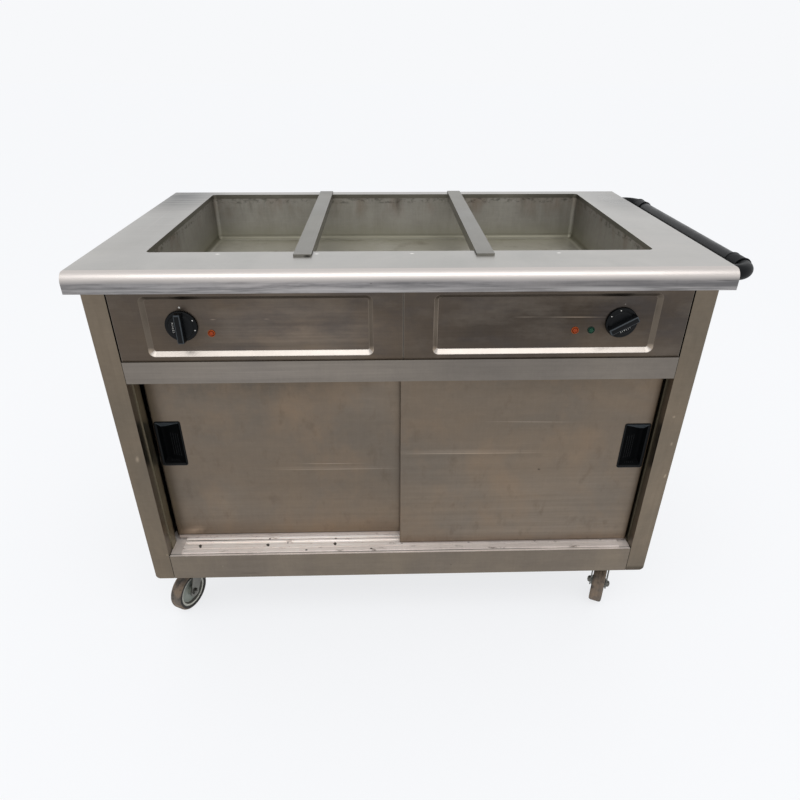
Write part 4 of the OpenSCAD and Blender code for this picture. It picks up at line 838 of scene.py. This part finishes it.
# Scratches with soft lighter places beside them, a dark spot, broad lighter places painted as reflections,
# the track's glow in the left door's lower corner among them, and painted shadow along the tops of the doors
# under the header rail.
door_marks_and_sheen = [
    rub_or_painted_light((-0.195, left_y, 0.4225), (0.17, 0.03, 0.0070), 0.30, tilt=0.005),
    rub_or_painted_light((-0.18, left_y, 0.4195), (0.16, 0.03, 0.0013), 1.00, tilt=0.004),
    rub_or_painted_light((-0.19, left_y, 0.435), (0.085, 0.03, 0.0014), 0.90, tilt=0.008),
    rub_or_painted_light((-0.10, left_y, 0.60), (0.11, 0.03, 0.07), 0.14, tilt=0.3),
    rub_or_painted_light((-0.062, left_y, 0.636), (0.05, 0.03, 0.03), 0.18),
    rub_or_painted_light((-0.30, left_y, 0.26), (0.45, 0.03, 0.12), 0.18),
    rub_or_painted_light((0.11, right_y, 0.483), (0.19, 0.02, 0.0085), 0.36, tilt=0.006),
    rub_or_painted_light((0.12, right_y, 0.479), (0.17, 0.02, 0.0015), 1.30, tilt=0.005),
    rub_or_painted_light((0.235, right_y, 0.5575), (0.115, 0.02, 0.0015), 0.60, tilt=0.02),
    rub_or_painted_light((0.269, right_y, 0.434), (0.0045, 0.02, 0.0035), -0.8, tilt=0.4),
    rub_or_painted_light((-0.44, left_y, 0.33), (0.06, 0.03, 0.09), 0.10, tilt=0.2),
    rub_or_painted_light((0.25, right_y, 0.33), (0.50, 0.02, 0.22), 0.24),
    rub_or_painted_light((0.28, right_y, 0.24), (0.40, 0.02, 0.07), 0.22),
    rub_or_painted_light((-0.525, left_y, 0.246), (0.034, 0.02, 0.016), 0.8, tilt=-0.3),
    rub_or_painted_light((-0.25, left_y, 0.645), (0.50, 0.03, 0.055), -0.26),
    rub_or_painted_light((0.30, right_y, 0.655), (0.45, 0.02, 0.045), -0.16),
]


def door_finish(side, hem_z):
    """Door sheet with stains. Its foot is painted bright up to hem_z, a painted reflection of the track,
    under a dark line.
    """
    films_or_painted_light = [
        film_or_painted_light(srgb(140, 119, 98), 0.45, (7, 7, 6), (0.50, 0.72)),
        film_or_painted_light(srgb(96, 84, 72), 0.35, (30, 30, 16), (0.56, 0.70)),
        film_or_painted_light(srgb(62, 54, 46), 0.75, (3, 3, 3), everywhere, (hem_z + 0.0022, hem_z + 0.0012)),
        film_or_painted_light(srgb(196, 189, 186), 0.9, (3, 3, 3), everywhere, (hem_z + 0.0008, hem_z - 0.0030)),
        film_or_painted_light(srgb(92, 70, 48), 0.5, (60, 60, 40), (0.60, 0.72), (0.232, 0.226)),
    ]
    return steel("door_sheet_" + side, srgb(121, 108, 94), "X", second=srgb(113, 104, 94), rough=0.33,
                 lines=0.025, cloud=0.06, smudge=0.055, rubs_or_painted_light=door_marks_and_sheen, films_or_painted_light=films_or_painted_light)


hem_heights = {"left": 0.2345, "right": 0.2275}
door_steel = {side: door_finish(side, hem_z) for side, hem_z in hem_heights.items()}
pull_rise = 0.0015
pull_rim = [(0.056, 0.114, 0.005, 0.0), (0.056, 0.114, 0.005, 0.0009), (0.0552, 0.1132, 0.0046, 0.0013),
            (0.0540, 0.1120, 0.0040, 0.0015), (0.0510, 0.1090, 0.0030, 0.0015),
            (0.0500, 0.1080, 0.0026, 0.0011), (0.0492, 0.1072, 0.0022, 0.0002),
            (0.0464, 0.1044, 0.0020, -0.0010)]
valley_w, valley_h, valley_r = 0.0060, 0.0800, 0.0014
valley_x, valley_z, valley_y = 0.0165, -0.003, -0.013
wall_shares, wall_bend, bend_step = (0.3, 0.6, 0.85, 0.96, 1.0), 0.85, 0.08
in_cup, faces_down, faces_front = 0.001, -0.25, -0.2
lit_wall_number, cup_shade_number = 1, 2
rib_rows, rib_top, rib_foot, rib_sink = (-0.0165, -0.0110, -0.0055, 0.0), 0.024, -0.033, 0.0002
rib_half, foot_rib_half, rib_rise = 0.0009, 0.0008, 0.0012
rib_grows = ((0.0, 0.2), (0.04, 0.8), (0.1, 1.0), (0.9, 1.0), (0.96, 0.8), (1.0, 0.2))
foot_ribs, foot_rib_start, foot_rib_step = 5, -0.009, 0.0042
foot_rib_low, foot_rib_high = (-0.0475, -0.0045), (-0.0440, -0.0085)


def moulded_pull(side):
    """Flush pull: a raised rim, and a recess whose walls slope to a deep narrow valley at the outer side."""
    low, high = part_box("door_%s_pull" % side)
    middle_x, middle_z, face_y = (low.x + high.x) / 2, (low.z + high.z) / 2, low.y + pull_rise

    def place(u, v, w):
        return (middle_x + outwards[side] * u, face_y - w, middle_z + v)

    rings = [[place(u, v, w) for u, v in round_corners(width, height, radius)]
             for width, height, radius, w in pull_rim]
    width, height, radius, start_w = pull_rim[-1]
    for share in wall_shares:
        deep = share
        if share > wall_bend:
            deep = 1 - bend_step * (1 - share) / (1 - wall_bend)
        w = start_w + (valley_y - start_w) * deep
        rings.append([place(valley_x * share + u, valley_z * share + v, w)
                      for u, v in round_corners(width + (valley_w - width) * share,
                                                height + (valley_h - height) * share,
                                                radius + (valley_r - radius) * share)])
    mesh = lofted("door_%s_pull" % side, rings, close_last=True, angle=28)
    form = bmesh.new()
    form.from_mesh(mesh)
    # The recess's upper wall, facing down, is painted lighter, a painted highlight; its deep inside is
    # painted darker, a painted shade.
    for face in form.faces:
        if face.normal.z < faces_down and face.normal.y < faces_front:
            face.material_index = lit_wall_number
        elif face.calc_center_median().y > face_y + in_cup:
            face.material_index = cup_shade_number

    def rib(start, end, half, rise):
        """Half-round rib between two points of the recess."""
        first, last = Vector(start), Vector(end)
        long = last - first
        sideways = Vector((0, 1, 0))
        if abs(long.x) < abs(long.y):
            sideways = Vector((long.y, -long.x, 0)).normalized()
        rows = []
        for along, grow in rib_grows:
            base = first + long * along
            row = []
            for turn_by in range(0, 181, 30):
                across = sideways * half * math.cos(math.radians(turn_by))
                out = Vector((0, 0, rise * grow * math.sin(math.radians(turn_by))))
                row.append(form.verts.new(place(*(base + across + out))))
            rows.append(row)
        for row, next_row in zip(rows, rows[1:]):
            for corners in zip(row, row[1:], next_row[1:], next_row):
                form.faces.new(corners).smooth = True

    reach_in = valley_x - valley_w / 2 + width / 2
    for u in rib_rows:
        w = valley_y * (u + width / 2) / reach_in - rib_sink
        rib((u, rib_foot, w), (u, rib_top, w), rib_half, rib_rise)
    for k in range(foot_ribs):
        u = foot_rib_start + foot_rib_step * k
        rib((u, *foot_rib_low), (u, *foot_rib_high), foot_rib_half, rib_rise)
    bmesh.ops.recalc_face_normals(form, faces=form.faces)
    return finished_mesh(form, "door_%s_pull" % side, 28)


cup_painted_shade = coat("cup_moulding_painted_shade", srgb(3, 4, 5), 0.60, shine=0.05)
nylon = coat("nylon", srgb(214, 208, 190), 0.5)
inner_films = [film_or_painted_light(srgb(120, 104, 84), 0.4, (6, 6, 6), (0.52, 0.75))]
inner_steel = steel("inner_steel", srgb(158, 154, 148), "X", second=srgb(146, 143, 138), rough=0.4,
                    lines=0.05, cloud=0.12, films_or_painted_light=inner_films)
for side in outwards:
    softened("door_%s_skin" % side, [door_steel[side], fold_highlight], width=0.0007, edge_finish=1)
    softened("door_%s_back" % side, inner_steel)
    show(moulded_pull(side), "door_%s_cup" % side, "door_" + side,
         [black_plastic, plastic_highlight_and_wear, cup_painted_shade],
         ("door_%s_pull" % side,))
    softened("door_%s_guides" % side, nylon, width=0.0008)

# ---- Door tracks ----
# Extruded aluminium tracks: one fixed under the header rail, one riveted to the
# sill, dotted with grime, with painted shadow, highlight and shade across it.
track_spots = [(-0.505, -0.304), (-0.347, -0.303), (-0.190, -0.303), (-0.303, -0.292), (-0.347, -0.280),
               (-0.190, -0.282), (-0.256, -0.319), (-0.105, -0.318)]
track_grime_and_light = [rub_or_painted_light((x, y, 0.223), (0.0034, 0.0028, 0.004), -2.6) for x, y in track_spots]
# A painted shadow along the rear edge under the doors, a dark groove line, then a broad painted highlight on
# the left and painted shade on the right.
track_grime_and_light += [
    rub_or_painted_light((-0.46, -0.2815, 0.2225), (0.13, 0.0018, 0.005), -2.2),
    rub_or_painted_light((-0.28, -0.2822, 0.2225), (0.55, 0.0012, 0.005), -1.4),
    rub_or_painted_light((-0.33, -0.2975, 0.2225), (0.60, 0.0010, 0.005), -0.6),
    rub_or_painted_light((-0.33, -0.2900, 0.2225), (0.50, 0.0600, 0.010), 0.30),
    rub_or_painted_light((0.30, -0.3150, 0.2225), (0.45, 0.0300, 0.010), -0.20),
]
track_films = [film_or_painted_light(srgb(96, 82, 66), 0.75, (28, 120, 28), (0.60, 0.70))]
track_metal = steel("track_metal", srgb(250, 241, 235), "X", second=srgb(238, 228, 221), rough=0.5,
                    lines=0.04, cloud=0.06, rubs_or_painted_light=track_grime_and_light, films_or_painted_light=track_films, metal=0.4)
zinc_films = [film_or_painted_light(srgb(120, 82, 54), 0.6, (40, 40, 40), (0.60, 0.74)),
              film_or_painted_light(srgb(88, 86, 82), 0.5, (14, 14, 14), (0.45, 0.65))]
zinc_steel = steel("zinc_plate", srgb(132, 131, 125), "Z", second=srgb(112, 112, 108), rough=0.44,
                   lines=0.02, cloud=0.2, films_or_painted_light=zinc_films)
softened("door_bottom_track", track_metal, width=0.0004)
softened("door_top_track", track_metal, width=0.0004)
softened("track_rivets", zinc_steel, width=0.0003)

# ---- Inside of the cupboard ----
# Liners, ceiling, floor and shelf in dull stainless sheet, the heating
# elements, the bearers under the floor, and the thermostats behind the panels.
element_films = [film_or_painted_light(srgb(64, 52, 44), 0.6, (30, 30, 30), (0.45, 0.7))]
element_metal = steel("element_metal", srgb(92, 88, 84), "X", second=srgb(74, 66, 60), rough=0.5, lines=0.02,
                      cloud=0.2, films_or_painted_light=element_films)
thermostat_body = steel("thermostat_body", srgb(178, 178, 172), "Z", rough=0.4, lines=0.03, cloud=0.1)
for node in ("ceiling_pan", "liner_left", "liner_right", "liner_back", "base_pan", "shelf"):
    softened(node, inner_steel, width=0.0006)
for node in ("shelf_brackets", "chassis_bearers", "castor_plates", "castor_bolts", "handle_screws"):
    softened(node, zinc_steel)
for node, finish in (("well_element", element_metal), ("cupboard_element", element_metal),
                     ("thermostat_left", thermostat_body), ("thermostat_right", thermostat_body),
                     ("cable_gland", black_plastic)):
    plain_piece = frame["nodes"][node]
    plain_piece.data.materials.clear()
    plain_piece.data.materials.append(finish)

# ---- Push handle ----
# Black painted tube held in two moulded elbows that are screwed to the end of
# the worktop. Each elbow's collar has a raised ring at either end.
handle_black = coat("handle_black", srgb(12, 13, 15), 0.30, shine=0.25)
tube_low, tube_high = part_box("handle_tube")
tube_middle = (tube_low + tube_high) / 2
collar_r, collar_start, collar_end = 0.017, 0.228, 0.270
ring_profile = [(-0.001, 0.0), (0.0006, 0.0004), (0.0008, 0.0015), (0.0006, 0.0026), (-0.001, 0.003)]
ring_starts = (collar_start + 0.0005, collar_end - 0.0035)


def handle_bracket(end, side):
    """One elbow and the rings of its collar: side is -1 at the front and 1 at the rear."""
    softened("handle_bracket_" + end, black_plastic, width=0.0008)

    def place(u, v, w):
        return Vector((tube_middle.x + u, side * w, tube_middle.z + v))

    form = bmesh.new()
    for start in ring_starts:
        turned(form, [(collar_r + out, start + along) for out, along in ring_profile], place, sides=48)
    bmesh.ops.recalc_face_normals(form, faces=form.faces)
    show(finished_mesh(form, "collar_rings_" + end), "collar_rings_" + end, "trolley", black_plastic)


handle_bracket("front", -1)
handle_bracket("rear", 1)
softened("handle_tube", handle_black)

# ---- Castors ----
# Plated swivel forks on steel plates, with grey moulded hubs and worn grey
# rubber tyres. A nut closes each end of the axle.
castor_turn = math.radians(25)
tyre_half = [(0.0402, 0.0150), (0.0432, 0.0150), (0.0440, 0.0142), (0.0450, 0.0142), (0.0458, 0.0148),
             (0.0472, 0.0144), (0.0486, 0.0132), (0.0496, 0.0112), (0.0500, 0.0085), (0.0500, 0.0045),
             (0.0497, 0.0040), (0.0497, 0.0034), (0.0500, 0.0029)]
hub_half = [(0.0051, 0.0170), (0.0112, 0.0170), (0.0120, 0.0162), (0.0126, 0.0074), (0.0142, 0.0062),
            (0.0300, 0.0054), (0.0326, 0.0062), (0.0338, 0.0090), (0.0346, 0.0126), (0.0354, 0.0133),
            (0.0392, 0.0134), (0.0400, 0.0128)]
hub_bands = [0] * 6 + [2] * 2 + [1] * 7 + [2] * 2 + [0] * 6
tyre_bands = [1] * 4 + [0] * 17 + [1] * 4
nut_washer = [(0.0, 0.0200), (0.0086, 0.0200), (0.0086, 0.0214)]
nut_flats = [(0.0074, 0.0216), (0.0074, 0.0252), (0.0064, 0.0262)]
nut_dome = [(0.0064, 0.0262), (0.0044, 0.0262), (0.0040, 0.0274), (0.0, 0.0276)]
tyre_films = [film_or_painted_light(srgb(124, 106, 88), 0.85, (22, 22, 22), (0.42, 0.60)),
              film_or_painted_light(srgb(52, 48, 44), 0.75, (60, 60, 60), (0.52, 0.64))]


def dusty(name, shade, films_or_painted_light, rough):
    """Rubber or plastic with floor dirt rubbed into it."""
    return steel(name, shade, "Z", rough=rough, lines=0.03, cloud=0.12, films_or_painted_light=films_or_painted_light, metal=0.0)


tyre_rubber = dusty("tyre_rubber", srgb(92, 84, 76), tyre_films, 0.75)
tyre_edge = dusty("tyre_edge", srgb(40, 38, 36), tyre_films[1:], 0.7)
hub_films = [film_or_painted_light(srgb(120, 112, 98), 0.5, (30, 30, 30), (0.50, 0.7))]
hub_plastic = dusty("hub_plastic", srgb(138, 144, 136), hub_films, 0.5)
hub_rim = dusty("hub_rim", srgb(190, 190, 180), hub_films, 0.45)
hub_groove = dusty("hub_groove", srgb(86, 86, 80), hub_films, 0.6)
wheel_parts = [("tyre", tyre_half, tyre_bands, [tyre_rubber, tyre_edge]),
               ("hub", hub_half, hub_bands, [hub_plastic, hub_rim, hub_groove])]
axle = Vector((math.cos(castor_turn), -math.sin(castor_turn), 0))
forward = Vector((math.sin(castor_turn), math.cos(castor_turn), 0))


def castor(corner):
    """Fork, axle nuts, tyre and hub at one corner. The axle's middle is the middle of the tyre."""
    low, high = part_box("castor_tyre_" + corner)
    centre = (low + high) / 2

    def place(u, v, w):
        return centre + forward * u + Vector((0, 0, v)) + axle * w

    softened("castor_fork_" + corner, zinc_steel, width=0.0009)
    form = bmesh.new()
    for facing in (-1, 1):
        for profile, sides in ((nut_washer, 32), (nut_flats, 6), (nut_dome, 24)):
            turned(form, [(r, facing * w) for r, w in profile], place, sides=sides)
    bmesh.ops.recalc_face_normals(form, faces=form.faces)
    show(finished_mesh(form, "axle_nuts_" + corner), "axle_nuts_" + corner, "castor_%s_swivel" % corner,
         zinc_steel)
    for part, half_profile, bands, finishes in wheel_parts:
        node = "castor_%s_%s" % (part, corner)
        profile = half_profile + [(r, -w) for r, w in reversed(half_profile)]
        form = bmesh.new()
        turned(form, profile + [profile[0]], place, sides=72, finishes=bands + [bands[0]])
        bmesh.ops.remove_doubles(form, verts=form.verts, dist=same_point)
        bmesh.ops.recalc_face_normals(form, faces=form.faces)
        show(finished_mesh(form, node), node + "_ring", "castor_%s_wheel" % corner, finishes,
             (node,))


for corner in ("front_left", "front_right", "rear_left", "rear_right"):
    castor(corner)
